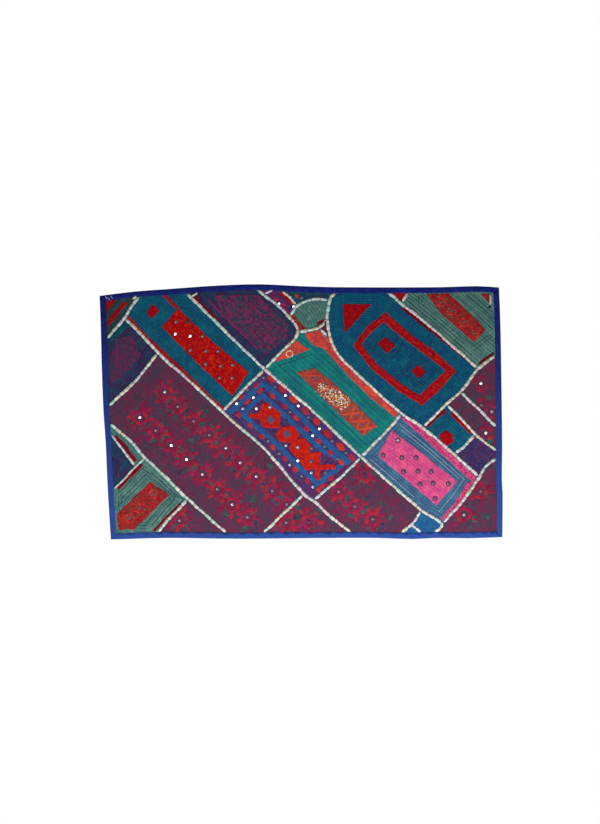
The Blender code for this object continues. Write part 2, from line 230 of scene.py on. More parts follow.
def mottle():
    """Short slanting dashes of three colours, as in a closely embroidered cloth."""
    takes = (("Fleck", "Float", 120.0), ("First", "Color", (1, 0, 0, 1)), ("Second", "Color", (0, 1, 0, 1)),
             ("Third", "Color", (0, 0, 1, 1)), ("Much", "Float", 0.5))
    group, given, out = effect("mottle", takes, (("Color", "Color"), ("Fleck", "Float")))
    place = on_piece(group)
    bent = put(group, "TexNoise", {"Vector": place, "Scale": 70.0, "Detail": 2.0}).outputs["Color"]
    bend = put(group, "VectorMath", {0: bent, "Scale": 0.006}, operation="SCALE").outputs[0]
    place = put(group, "VectorMath", {0: place, 1: bend}).outputs[0]
    picks = []
    for turn in (0.7, -0.8):
        slanting = put(group, "Mapping", {0: place, "Rotation": (0, turn, 0), "Scale": (1.0, 1.0, 2.6)},
                       vector_type="TEXTURE").outputs[0]
        close = times(group, given["Fleck"], 1.5)
        cells = put(group, "TexVoronoi", {"Vector": slanting, "Scale": close, "Randomness": 0.9})
        picks.append(put(group, "SeparateColor", {0: cells.outputs["Color"]}).outputs)
    shade = mixed(group, spread(group, picks[0][0], maths(group, "SUBTRACT", 0.95, given["Much"]), 1.0),
                  given["First"], given["Second"])
    shade = mixed(group, spread(group, picks[1][1], 0.66, 0.76), shade, given["Third"])
    group.links.new(shade, out["Color"])
    group.links.new(times(group, picks[0][2], picks[1][2]), out["Fleck"])
    return group


WEAVE, DYE, ROWS, MOTTLE = plain_weave(), uneven_dye(), stitched_rows(), mottle()


def use(tree, group, inputs):
    """A shared effect in a material, its inputs filled or joined."""
    made = tree.nodes.new("ShaderNodeGroup")
    made.node_tree = group
    for socket, value in inputs.items():
        if isinstance(value, bpy.types.NodeSocket):
            tree.links.new(value, made.inputs[socket])
        else:
            made.inputs[socket].default_value = value
    return made.outputs


def cloth(name, main, deep, pale, patch=40.0, rough=(0.72, 0.95), shine=0.08, rows=None, thread=None,
          shade=0.28, grain=0.0005, pattern=None):
    """A woven cloth, with rows of stitches if it is quilted, painted shade in their grooves, and a pattern
    laid over its dye.
    """
    made, tree, base = new_finish(name)
    weave = use(tree, WEAVE, {"Threads": THREADS})
    colour = use(tree, DYE, {"Main": main, "Deep": deep, "Pale": pale, "Patch": patch})["Color"]
    height = times(tree, weave["Height"], 0.35)
    if pattern:
        colour, height = pattern(tree, colour, height)
    if rows:
        stitched = use(tree, ROWS, rows)
        place = on_piece(tree)
        # Painted shade: the grooves between the rows are darkened towards a near-black, more in some places
        # than others.
        groove_shade_amount = noise(tree, place, 13.0)
        groove_shade_amount = spread(tree, groove_shade_amount, 0.38, 0.66, shade * 0.35, shade * 2.6)
        dark = times(tree, stitched["Groove"], groove_shade_amount)
        colour = mixed(tree, dark, colour, GROOVE_SHADE_COLOUR)
        if thread:
            colour = mixed(tree, stitched["Thread"], colour, thread)
        height = plus(tree, height, times(tree, stitched["Puff"], 1.6))
        height = plus(tree, height, times(tree, stitched["Thread"], 0.5))
    colour = mixed(tree, spread(tree, weave["Slub"], 0.35, 0.65, 0.0, 0.22), colour, SOOT)
    tree.links.new(colour, base.inputs["Base Color"])
    tree.links.new(spread(tree, weave["Slub"], 0.3, 0.7, *rough), base.inputs["Roughness"])
    bump = put(tree, "Bump", {"Height": height, "Strength": 0.8, "Distance": grain})
    tree.links.new(bump.outputs[0], base.inputs["Normal"])
    base.inputs["Specular IOR Level"].default_value = shine
    base.inputs["Sheen Weight"].default_value = 0.02
    return made


def mottled(flecks, size, much=0.5, bumps=0.8):
    """A pattern of flecks in three colours laid over the dye."""
    def pattern(tree, colour, height):
        """The flecks over a colour, and their height over the weave's."""
        found = use(tree, MOTTLE, {"First": flecks[0], "Second": flecks[1], "Third": flecks[2],
                                   "Fleck": size, "Much": much})
        colour = mixed(tree, 0.72, colour, found["Color"])
        return colour, plus(tree, height, times(tree, found["Fleck"], bumps))
    return pattern


# Dressing a patch. Each is cut from cloth, turned in along its seams, and quilted to a thin backing, so it
# has puffs between its rows of stitches, a low crown, and a valley at every seam. It is one closed sheet.
CELL, CUTS = 14.0, 3
FRONT = 1.0
CROWN, CROWN_FROM, CROWN_OVER = 0.8, 20.0, 40.0
SEAM_DROP, SEAM_OVER = 0.7, 5.0
PUFF_ROUND, PUFF_MIDDLE = 0.7, 0.55
UNEVEN, EVEN_AT_SEAM = 0.45, 9.0
UNEVEN_LENGTHS = (210.0, 130.0, 83.0, 51.0)
WELD = 1e-6
SHARP_FOLD = 62
DRESSED = []


def line_lengths(line):
    """How far along a line each of its stops is."""
    steps = np.hypot(*np.diff(line, axis=0).T)
    return np.concatenate([[0.0], np.cumsum(steps)])


def nearest(points, line):
    """For each point, how far it is from a line, and how far along the line its nearest place is."""
    line = np.asarray(line, float)
    marks = line_lengths(line)
    best = np.full(len(points), 1e9)
    along = np.zeros(len(points))
    for start, end, mark in zip(line, line[1:], marks):
        run = end - start
        length = max(float(run @ run), 1e-9)
        share = np.clip((points - start) @ run / length, 0.0, 1.0)
        gap = np.hypot(*(points - start - share[:, None] * run).T)
        closer = gap < best
        best[closer] = gap[closer]
        along[closer] = mark + share[closer] * math.sqrt(length)
    return best, along


def add_rows(mesh, places):
    """The piece's own map of its rows, from the distances across and along at each of its points."""
    corners = np.empty(len(mesh.loops), int)
    mesh.loops.foreach_get("vertex_index", corners)
    mesh.uv_layers.new(name="rows").data.foreach_set("uv", places[corners].ravel())


def show_piece(name, mesh, finishes):
    """A finished mesh as a piece of the hanging, smooth but for its sharp folds."""
    piece = bpy.data.objects.new(name, mesh)
    bpy.context.scene.collection.objects.link(piece)
    for finish in finishes:
        mesh.materials.append(finish)
    mesh.shade_smooth()
    mesh.set_sharp_from_angle(angle=math.radians(SHARP_FOLD))
    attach(piece, "root")
    return piece


def faces_front(face):
    """Whether a face looks out of the front of the hanging."""
    return face.normal.y < -0.5


def cut_sheet(node):
    """A copy of a patch's solid with a finely cut front, its outline, and which corners are on the front."""
    bm = bmesh.new()
    bm.from_mesh(bpy.data.objects[node].data)
    bmesh.ops.remove_doubles(bm, verts=bm.verts, dist=WELD)
    bmesh.ops.recalc_face_normals(bm, faces=bm.faces)
    face = bmesh.ops.dissolve_faces(bm, faces=list(filter(faces_front, bm.faces)))["region"][0]
    outline = np.array([(vert.co.x, vert.co.z) for vert in face.verts]) / MM
    low, high = outline.min(axis=0), outline.max(axis=0)
    for axis, normal in ((0, (1, 0, 0)), (1, (0, 0, 1))):
        for k in range(math.ceil(low[axis] / CELL), math.ceil(high[axis] / CELL)):
            place = Vector(normal) * (k * CELL * MM)
            faces = list(filter(faces_front, bm.faces))
            parts = set(faces)
            parts.update(edge for face in faces for edge in face.edges)
            parts.update(vert for face in faces for vert in face.verts)
            bmesh.ops.bisect_plane(bm, geom=list(parts), plane_co=place, plane_no=normal, dist=WELD)
    odd = [face for face in filter(faces_front, bm.faces) if len(face.verts) != 4]
    bmesh.ops.triangulate(bm, faces=odd)
    edges = {edge for face in filter(faces_front, bm.faces) for edge in face.edges}
    bmesh.ops.subdivide_edges(bm, edges=list(edges), cuts=CUTS, use_grid_fill=True)
    bm.normal_update()
    front = np.array([any(map(faces_front, vert.link_faces)) for vert in bm.verts])
    mesh = bpy.data.meshes.new(node)
    bm.to_mesh(mesh)
    bm.free()
    return mesh, outline, front


def soft_noise(x, z, seed):
    """A slow, uneven rise and fall of the cloth, about 1 either way."""
    total = 0.0
    chance = random.Random(seed)
    for length in UNEVEN_LENGTHS:
        turn = chance.uniform(0, math.pi)
        along = x * math.cos(turn) + z * math.sin(turn)
        total = total + np.sin(2 * math.pi * along / length + chance.uniform(0, 6)) / len(UNEVEN_LENGTHS)
    return total


def dress_patch(patch, finish, rows=None, spacing=10.0, puff=0.7):
    """Cuts, quilts and hangs one patch. Its stitched rows keep to the line rows, or to its own outline."""
    node = "patch_" + patch
    mesh, outline, front = cut_sheet(node)
    spots = np.empty(len(mesh.vertices) * 3)
    mesh.vertices.foreach_get("co", spots)
    spots = spots.reshape(-1, 3) / MM
    x, z = spots[:, 0], spots[:, 2]
    flat = spots[:, (0, 2)]
    closed = np.vstack([outline, outline[:1]])
    inside, round_edge = nearest(flat, closed)
    across, along = (inside, round_edge) if rows is None else nearest(flat, rows)
    rise = FRONT + CROWN * smooth((inside - CROWN_FROM) / CROWN_OVER)
    rise -= SEAM_DROP * (1 - smooth(inside / SEAM_OVER))
    quilt = puff * (np.abs(np.sin(math.pi * across / spacing)) ** PUFF_ROUND - PUFF_MIDDLE)
    rise += (quilt + UNEVEN * soft_noise(x, z, len(patch))) * smooth(inside / EVEN_AT_SEAM)
    spots[front, 1] = -(hang(x[front], z[front]) + rise[front])
    spots[~front, 1] = -(hang(x[~front], z[~front]) - FRONT)
    mesh.vertices.foreach_set("co", (spots * MM).ravel())
    add_rows(mesh, np.stack([across, along], axis=1) * MM)
    piece = show_piece("quilted_" + patch, mesh, [finish])
    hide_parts(node)
    DRESSED.append(piece)

# The braids' routes, as x and z. Each braid is sewn over one seam, and where the rows of a patch run beside
# a seam they keep to the same route.
BRAIDS = {
    "a": ((-615, -44), (-646, -81), (-671, -122), (-733, -196)),
    "b": ((-662, -126), (-524, -270), (-421, -361), (-284, -489), (-144, -613), (-85, -677), (13, -790),
          (54, -819), (118, -878), (188, -932)),
    "c": ((-546, -261), (-630, -362), (-725, -453)),
    "d": ((-429, -31), (-153, -300), (53, -480), (242, -660), (457, -849), (509, -882), (529, -897),
          (537, -906), (532, -917), (512, -932)),
    "e": ((455, -859), (426, -901), (386, -935)),
    "f": ((-161, -18), (-101, -63), (-63, -96), (-22, -144), (-12, -167), (-18, -191), (-33, -211),
          (-51, -229), (-69, -246), (-130, -310)),
    "f_low": ((-143, -322), (-219, -394), (-291, -471)),
    "g": ((224, -655), (143, -735), (55, -808)),
    "h": ((7, -796), (-138, -934)),
    "i": ((-721, -527), (-652, -581), (-587, -655), (-505, -732), (-444, -794), (-286, -935)),
    "j": ((-433, -816), (-489, -872), (-539, -932)),
    "k": ((-597, -657), (-634, -694), (-670, -732), (-707, -768)),
    "l": ((-717, -568), (-674, -623), (-633, -679)),
    "m": ((131, -29), (120, -35), (113, -46), (103, -95), (101, -120), (106, -169), (125, -229), (144, -261),
          (169, -289), (242, -357), (382, -482), (445, -523), (485, -553), (598, -651), (672, -719)),
    "n": ((741, -657), (720, -672), (701, -690), (680, -723), (622, -808), (545, -896)),
    "o": ((335, -30), (357, -43), (376, -60), (406, -84), (515, -172), (668, -307)),
    "p": ((737, -266), (677, -311), (647, -351), (607, -400), (552, -451), (472, -530)),
    "q": ((406, -29), (388, -58)),
    "r": ((612, -407), (678, -468), (740, -532)),
    "s": ((560, -456), (614, -507), (663, -562), (741, -624)),
    "t": ((659, -570), (627, -603), (592, -633)),
    "u": ((379, -491), (309, -568), (236, -643)),
    "v": ((-68, -21), (-41, -43), (-19, -68)),
    "w": ((-38, -109), (-18, -80), (21, -57), (67, -49), (101, -52)),
    "x": ((-2, -174), (61, -162), (83, -148), (91, -138)),
    "y": ((78, -165), (98, -186)),
    "corner": ((720, -34), (722, -52), (721, -70)),
}

# The quilted satins. Five patches are of teal, petrol or emerald satin, shot with a second shade, and
# quilted in close rows that keep to a seam or go round the patch.
PETROL = cloth("petrol satin", dye(0, 90, 118), dye(0, 72, 112), dye(4, 112, 112), patch=26.0,
               rough=(0.4, 0.65), shine=0.09, rows={"Spacing": 0.0095, "Stitch": 0.005},
               thread=dye(8, 30, 60), shade=0.22)
TEAL = cloth("teal satin", dye(0, 94, 120), dye(0, 76, 108), dye(0, 114, 114), patch=22.0, rough=(0.4, 0.65),
             shine=0.09, rows={"Spacing": 0.0105, "Stitch": 0.005}, thread=dye(4, 40, 70), shade=0.22)
EMERALD = cloth("emerald satin", dye(4, 128, 120), dye(4, 108, 116), dye(16, 138, 122), patch=18.0,
                rough=(0.4, 0.65), shine=0.14, rows={"Spacing": 0.0165, "Stitch": 0.005},
                thread=dye(4, 84, 92), shade=0.13)
DARK_TEAL = cloth("dark teal satin", dye(22, 74, 92), dye(26, 52, 82), dye(16, 100, 98), patch=30.0,
                  rough=(0.4, 0.65), shine=0.14, rows={"Spacing": 0.0085, "Stitch": 0.005})
dress_patch("petrol", PETROL, spacing=9.5)
dress_patch("teal_long", TEAL, rows=BRAIDS["b"], spacing=10.5)
dress_patch("emerald", EMERALD, rows=BRAIDS["d"], spacing=16.5)
dress_patch("teal_diamond", TEAL, spacing=10.5)
dress_patch("top_triangle", DARK_TEAL, spacing=8.5)

# The sage cottons. Four patches of soft grey-green cotton, pieced to their neighbours and quilted in rows of
# dark running stitches that go round the patch or beside a seam.
SAGE = cloth("sage cotton", dye(94, 136, 126), dye(74, 120, 116), dye(116, 152, 136), patch=24.0,
             rows={"Spacing": 0.0115, "Stitch": 0.0075}, thread=dye(30, 40, 70))
dress_patch("sage_right", SAGE, rows=BRAIDS["o"], spacing=11.5)
dress_patch("corner_lower_left", SAGE, spacing=11.5)
dress_patch("sage_small", SAGE, rows=BRAIDS["f"], spacing=11.5)
dress_patch("sage_sliver", SAGE, rows=BRAIDS["i"], spacing=11.5)

# The burgundy cottons. Seven patches of wine cotton with fine upright cords woven in, with painted shade
# between the cords. They are only tacked to the backing, so they lie flatter than the quilted ones.
CORD_PITCH = 0.0079


def corded(tree, colour, height):
    """Upright cords over the dye, with painted shade in the groove between them."""
    place = on_piece(tree)
    shaky = noise(tree, place, 30.0)
    ways = put(tree, "SeparateXYZ", {0: place}).outputs
    across = maths(tree, "MULTIPLY_ADD", ways["X"], 1 / CORD_PITCH, times(tree, shaky, 0.5))
    cord = maths(tree, "PINGPONG", across, 0.5)
    groove = spread(tree, cord, 0.22, 0.02)
    strong = noise(tree, place, 11.0, 1.0)
    groove = times(tree, groove, spread(tree, strong, 0.3, 0.6, 0.35, 1.0))
    # Painted shade: the groove between cords is darkened towards a dull grey-purple.
    colour = mixed(tree, groove, colour, dye(66, 58, 76))
    return colour, maths(tree, "SUBTRACT", height, times(tree, groove, 1.2))


BURGUNDY = cloth("corded burgundy cotton", dye(112, 44, 76), dye(80, 60, 80), dye(146, 32, 70), patch=30.0,
                 pattern=corded)
for patch in ("burgundy_big", "burgundy_low", "burgundy_low_middle", "burgundy_right",
              "burgundy_right_upper", "corner_lower_right", "burgundy_triangle"):
    dress_patch(patch, BURGUNDY, spacing=40.0, puff=0.4)

# The blue cottons. One large patch between two long seams and two small ones, of mid blue cotton that has
# taken the red of its neighbours in places. They are quilted in wide rows.
BLUE = cloth("blue cotton", dye(60, 62, 116), dye(104, 40, 84), dye(50, 86, 136), patch=44.0,
             rows={"Spacing": 0.016, "Stitch": 0.006})
BRIGHT_BLUE = cloth("bright blue cotton", dye(40, 100, 148), dye(36, 84, 136), dye(50, 116, 156), patch=40.0)
dress_patch("blue_mirrored", BLUE, spacing=16.0)
dress_patch("blue_sliver", BLUE, spacing=16.0)
dress_patch("blue_pot", BRIGHT_BLUE, spacing=30.0, puff=0.4)

# The slate cotton. One patch of greyed blue cotton, the ground for the pink field, quilted in close rows
# that go round it.
SLATE = cloth("slate cotton", dye(74, 116, 148), dye(66, 96, 136), dye(60, 134, 146), patch=22.0,
              rows={"Spacing": 0.0125, "Stitch": 0.006})
dress_patch("pink_centre", SLATE, spacing=12.5)

# The plum, green, maroon, red and navy cottons. These are the dark frames of the plum fields and the small
# patches that fill the corners between long seams, pieced and quilted like the rest.
PLUM_FRAME = cloth("dark frame cotton", dye(38, 68, 96), dye(62, 46, 86), dye(16, 88, 100), patch=22.0,
                   rows={"Spacing": 0.0095, "Stitch": 0.006}, thread=dye(20, 20, 50))
GREEN = cloth("dark green cotton", dye(24, 82, 84), dye(60, 58, 60), dye(40, 100, 92), patch=30.0,
              rows={"Spacing": 0.010, "Stitch": 0.006})
MAROON = cloth("maroon cotton", dye(118, 34, 50), dye(88, 40, 64), dye(140, 50, 60), patch=44.0)
RED = cloth("red cotton", dye(182, 22, 30), dye(150, 12, 24), dye(206, 42, 34), patch=30.0)
dress_patch("plum_long", PLUM_FRAME, rows=BRAIDS["d"], spacing=9.5)
dress_patch("upper_left", PLUM_FRAME, rows=BRAIDS["c"], spacing=9.5)
dress_patch("left_small", PLUM_FRAME, spacing=9.5)
dress_patch("corner_upper_left", GREEN, spacing=10.0)
dress_patch("maroon_triangle", MAROON, spacing=20.0, puff=0.3)
dress_patch("red_triangle", RED, spacing=20.0, puff=0.3)
NAVY = cloth("navy cotton", dye(50, 48, 98), dye(84, 40, 80), dye(46, 66, 118), patch=50.0,
             pattern=mottled((dye(52, 50, 98), dye(120, 34, 74), dye(70, 66, 104)), 150.0, 0.4))
dress_patch("navy_small", NAVY, spacing=24.0, puff=0.4)

# Cloth sewn on top of the patches. Fields, frames, strips and diamonds are cut from thin cotton, their edges
# turned under and stitched down, so each lies just proud of the patch that it is on.
LIFT, HEM, LEAST_LIFT = 0.55, 0.08, 0.25
CLOTH_THICK = 0.5
CLOTH_STEP, EDGE_CUT = 4.0, 0.9
LEAST_FLAT, LEAST_SHARE = 0.01, 0.301
EYE = -0.2
LAID = []


def front_tree(pieces):
    """The faces of the pieces, to find how far forward they come."""
    spots, faces = [], []
    for piece in pieces:
        start = len(spots)
        spots += [vert.co.copy() for vert in piece.data.vertices]
        faces += [[start + i for i in face.vertices] for face in piece.data.polygons]
    return BVHTree.FromPolygons(spots, faces)


FRONTS = [front_tree(DRESSED)]


def cloth_front(x, z):
    """How far forward the topmost cloth comes at x and z."""
    found = float(hang(x, z)) - FRONT
    for tree in FRONTS:
        hit = tree.ray_cast(Vector((x * MM, EYE, z * MM)), Vector((0, 1, 0)))[0]
        if hit:
            found = max(found, -hit.y / MM)
    return found


def fractions(length, step, edge, closed=False):
    """Even divisions of a width or run, with one narrow one along each free edge."""
    count = max(2, round(length / step))
    even = list(np.linspace(0, 1, count + 1))
    if closed:
        return even[:-1]
    narrow = min(edge / length, 0.4 / count)
    return [0.0, narrow] + even[1:-1] + [1 - narrow, 1.0]


def hand_cut(grid):
    """The same places, moved a little as hand-cut edges wander."""
    x, z = grid[..., 0].copy(), grid[..., 1].copy()
    grid[..., 0] += 0.8 * np.sin(z / 9.0 + x / 31.0) + 0.5 * np.sin(z / 4.1 + 1.0)
    grid[..., 1] += 0.8 * np.sin(x / 8.0 - z / 27.0) + 0.5 * np.sin(x / 3.7 + 2.0)
    return grid


def along_stops(stops, shares):
    """Places at given shares of a line through its stops, the same share of each stretch for any line."""
    stops = np.asarray(stops, float)
    spots = np.asarray(shares) * (len(stops) - 1)
    first = np.minimum(spots.astype(int), len(stops) - 2)
    part = (spots - first)[:, None]
    return stops[first] * (1 - part) + stops[first + 1] * part


def eased(level, closed):
    """Heights evened out with their neighbours', twice over."""
    for _ in range(2):
        wide = np.pad(level, 1, mode="edge")
        if closed:
            wide[:, 0], wide[:, -1] = wide[:, -2], wide[:, 1]
        level = (wide[:-2, 1:-1] + wide[2:, 1:-1] + wide[1:-1, :-2] + wide[1:-1, 2:] + wide[1:-1, 1:-1]) / 5
    return level


def lay_cloth(name, one_side, other_side, finish, slot="cloth_red", lift=LIFT, closed=False,
              step=CLOTH_STEP):
    """A thin cloth between two lines of as many stops, laid on what is there and turned in at its edges."""
    if closed:
        one_side, other_side = one_side + one_side[:1], other_side + other_side[:1]
    one_side, other_side = np.asarray(one_side, float), np.asarray(other_side, float)
    lengths = line_lengths(one_side), line_lengths(other_side)
    length = max(marks[-1] for marks in lengths)
    width = np.hypot(*(one_side - other_side).T).max()
    stretches = len(one_side) - 1
    if closed or stretches > 1:
        shares = []
        for i in range(stretches):
            run = max(marks[i + 1] - marks[i] for marks in lengths)
            count = max(1, round(run / step))
            shares += [(i + k / count) / stretches for k in range(count)]
        shares += [] if closed else [1.0]
    else:
        shares = fractions(length, step, EDGE_CUT)
    across = fractions(width, step, EDGE_CUT)
    first, last = along_stops(one_side, shares), along_stops(other_side, shares)
    grid = hand_cut(np.array([first * (1 - share) + last * share for share in across]))
    level = np.array([[cloth_front(*spot) for spot in row] for row in grid])
    out = np.maximum(eased(level, closed) + lift, level + LEAST_LIFT)
    out[[0, -1]] = level[[0, -1]] + HEM
    if not closed:
        out[:, [0, -1]] = level[:, [0, -1]] + HEM
    rows, columns = level.shape
    spots = np.stack([grid[..., 0], -out, grid[..., 1]], axis=-1).reshape(-1, 3) * MM
    faces = []
    for j in range(rows - 1):
        for i in range(columns if closed else columns - 1):
            k = (i + 1) % columns
            faces.append((j * columns + i, j * columns + k, (j + 1) * columns + k, (j + 1) * columns + i))
    mesh = bpy.data.meshes.new(name)
    mesh.from_pydata(spots.tolist(), [], faces)
    mesh.update()
    if sum(face.normal.y for face in mesh.polygons) > 0:
        mesh.flip_normals()
    area = sum(face.area * abs(face.normal.y) for face in mesh.polygons)
    runs = np.interp(shares, np.linspace(0, 1, stretches + 1), lengths[0])
    maps = np.array([[(share * width, run) for run in runs] for share in across])
    add_rows(mesh, maps.reshape(-1, 2) * MM)
    piece = show_piece(name, mesh, [finish])
    thick = piece.modifiers.new("thickness", "SOLIDIFY")
    thick.thickness = CLOTH_THICK * MM
    thick.offset = -1.0
    bpy.context.view_layer.objects.active = piece
    bpy.ops.object.modifier_apply(modifier=thick.name)
    flat = (max(width * MM, LEAST_FLAT), max(length * MM, LEAST_FLAT))
    area = min(max(area, LEAST_SHARE * flat[0] * flat[1]), flat[0] * flat[1])
    LAID.append(piece)


def strip(name, line, width, finish, slot="cloth_red", **more):
    """A strip of one width along a line."""
    line = np.asarray(line, float)
    runs = np.gradient(line, axis=0)
    aside = np.stack([-runs[:, 1], runs[:, 0]], axis=1)
    aside *= width / 2 / np.hypot(*aside.T)[:, None]
    lay_cloth(name, (line + aside).tolist(), (line - aside).tolist(), finish, slot, **more)


APPLIED_RED = cloth("applied red cotton", dye(176, 10, 22), dye(142, 8, 26), dye(204, 30, 22), patch=70.0,
                    rows={"Spacing": 0.0075, "Stitch": 0.005})
ORANGE_RED = cloth("orange red satin", dye(220, 74, 56), dye(182, 62, 64), dye(236, 92, 64), patch=24.0,
                   rough=(0.4, 0.65), shine=0.14)
FLECKED_RED = cloth("flecked red cotton", dye(154, 22, 34), dye(124, 20, 36), dye(180, 38, 40), patch=40.0,
                    pattern=mottled((dye(162, 24, 38), dye(76, 78, 62), dye(186, 50, 46)), 150.0, 0.62))
FRAME_RED = cloth("flecked frame cotton", dye(178, 14, 24), dye(142, 10, 28), dye(206, 40, 26), patch=50.0,
                  pattern=mottled((dye(182, 12, 24), dye(124, 14, 30), dye(202, 44, 28)), 170.0, 0.35))
LOZENGE_RED = cloth("red cotton with orange stitching", dye(186, 10, 18), dye(156, 8, 22), dye(210, 40, 20),
                    patch=24.0,
                    pattern=mottled((dye(186, 10, 18), dye(214, 56, 24), dye(150, 10, 30)), 140.0, 0.46))
PLUM = cloth("mottled plum cotton", dye(82, 46, 80), dye(46, 60, 82), dye(120, 34, 84), patch=30.0,
             pattern=mottled((dye(84, 40, 78), dye(36, 78, 88), dye(160, 34, 92)), 150.0, 0.8))
MAGENTA = cloth("magenta tape", dye(150, 30, 90), dye(110, 40, 84), dye(170, 50, 110), patch=60.0)
SEAM_RED = cloth("seam red tape", dye(186, 30, 30), dye(146, 20, 36), dye(206, 48, 30), patch=50.0)
DARK_RED = cloth("dark red tape", dye(134, 16, 34), dye(106, 14, 38), dye(158, 24, 34), patch=60.0)
MAROON_TAPE = cloth("maroon tape", dye(112, 14, 30), dye(84, 12, 32), dye(140, 26, 26), patch=60.0)
PINK_TAPE = cloth("mottled pink tape", dye(214, 70, 122), dye(180, 50, 100), dye(232, 100, 146), patch=60.0,
                  pattern=mottled((dye(214, 70, 120), dye(160, 44, 92), dye(236, 104, 150)), 170.0, 0.5))
PINK = cloth("pink cotton", dye(236, 92, 140), dye(206, 76, 134), dye(242, 112, 150), patch=30.0,
             rows={"Spacing": 0.013, "Stitch": 0.005}, shade=0.14)
BAND_BLUE = cloth("band blue cotton", dye(44, 96, 150), dye(44, 80, 142), dye(46, 112, 150), patch=50.0)
CHAIN_RED = cloth("orange red chain cotton", dye(212, 42, 26), dye(190, 28, 30), dye(226, 62, 32),
                  patch=60.0, rows={"Spacing": 0.007, "Stitch": 0.004})
GREY_BLUE = cloth("grey blue cotton", dye(92, 84, 118), dye(70, 84, 110), dye(110, 90, 120), patch=60.0)

# On the corner patch at the upper left. A red corner and a red stripe, cut from the plain red cotton of the
# larger fields and stitched down on the dark green.
lay_cloth("corner_red_field", [(-738, -55), (-736, -97)], [(-698, -50), (-733, -95)], APPLIED_RED)
lay_cloth("corner_red_stripe", [(-734, -133), (-679, -62)], [(-732, -154), (-656, -62)], APPLIED_RED)

# On the long teal patch. A small diamond, a long field of red cotton worked in orange, a tape that leads to
# it and another along the lower seam.
strip("teal_long_tape", [(-660, -114), (-612, -167), (-567, -212), (-519, -256), (-475, -296), (-426, -344),
                         (-382, -387), (-339, -429), (-293, -467)], 13.0, SEAM_RED)
lay_cloth("teal_long_diamond", [(-587, -102), (-566, -124)], [(-562, -68), (-535, -91)], APPLIED_RED)
lay_cloth("teal_long_field", [(-527, -155), (-397, -287), (-259, -418)],
          [(-466, -83), (-333, -212), (-198, -326)], LOZENGE_RED)
lay_cloth("teal_long_lead", [(-525, -36), (-481, -83)], [(-506, -35), (-460, -86)], SEAM_RED)

# On the plum patches. Mottled fields that stand for close embroidery in plum, teal and pink, with a magenta
# tape beside the large one and dark red along its seam.
lay_cloth("plum_long_field", [(-333, -32), (-299, -98), (-207, -186), (-128, -258)],
          [(-166, -32), (-109, -83), (-48, -148), (-55, -197)], PLUM, "cloth_plum")
strip("plum_long_tape", [(-356, -49), (-291, -114), (-207, -193), (-162, -239)], 7.0, MAGENTA, "cloth_plum")
strip("plum_long_edge", [(-407, -40), (-371, -76), (-314, -131)], 14.0, DARK_RED, "cloth_plum")
DIM_PLUM = cloth("dim plum cotton", dye(82, 48, 80), dye(52, 60, 82), dye(112, 38, 82), patch=24.0,
                 pattern=mottled((dye(84, 44, 80), dye(48, 66, 84), dye(128, 38, 86)), 190.0, 0.7))
lay_cloth("upper_left_field", [(-724, -372), (-726, -273), (-698, -197)],
          [(-681, -349), (-606, -262), (-644, -182)], DIM_PLUM, "cloth_plum")

# On the petrol patch. A red triangle, and two red diamonds inside a bowed frame of flecked red, all of thin
# cotton turned under and stitched down. A maroon tape lies along the seam.
lay_cloth("petrol_triangle", [(159, -68), (167, -173)], [(269, -69), (174, -171)], APPLIED_RED)
lay_cloth("petrol_frame",
          [(323, -98), (420, -184), (515, -252), (592, -323), (530, -393), (463, -454),
           (370, -398), (268, -313), (199, -226), (250, -157)],
          [(315, -136), (401, -207), (484, -268), (551, -321), (499, -370), (450, -415),
           (382, -370), (290, -296), (231, -222), (265, -180)],
          FRAME_RED, closed=True)
lay_cloth("petrol_diamond_upper", [(292, -220), (326, -256)], [(321, -192), (362, -228)], APPLIED_RED)
lay_cloth("petrol_diamond_lower", [(420, -323), (450, -351)], [(448, -298), (477, -325)], APPLIED_RED)
strip("petrol_tape", [(385, -81), (473, -150), (568, -224), (661, -300)], 14.0, MAROON_TAPE)

# On the sage patches. Fields of red cotton flecked with grey and orange, small red corners where the seams
# meet, and narrow red tapes along the seams.
lay_cloth("sage_right_field", [(478, -29), (530, -102), (594, -159), (659, -214)],
          [(562, -28), (613, -74), (659, -119), (705, -165)], FLECKED_RED)
lay_cloth("sage_right_corner", [(686, -28), (689, -35)], [(718, -29), (717, -67)], FLECKED_RED)
strip("sage_right_tape", [(678, -296), (706, -273), (735, -254)], 10.0, MAROON_TAPE)
lay_cloth("corner_left_field", [(-692, -927), (-698, -866), (-641, -809), (-570, -743)],
          [(-629, -923), (-584, -877), (-542, -836), (-498, -792)], FLECKED_RED)
strip("corner_left_tape", [(-694, -769), (-658, -731), (-601, -676)], 15.0, DARK_RED)
strip("corner_left_low_tape", [(-557, -931), (-521, -889), (-453, -824)], 9.0, MAROON_TAPE)
strip("sage_sliver_tape", [(-705, -570), (-669, -608), (-627, -667)], 15.0, DARK_RED)
lay_cloth("sage_small_patch", [(-38, -106), (-25, -144), (-4, -167)], [(-25, -110), (0, -140), (21, -163)],
          FLECKED_RED)
lay_cloth("sage_small_corner", [(58, -152), (76, -145), (89, -135)],
          [(66, -136), (79, -128), (91, -124)], DARK_RED)

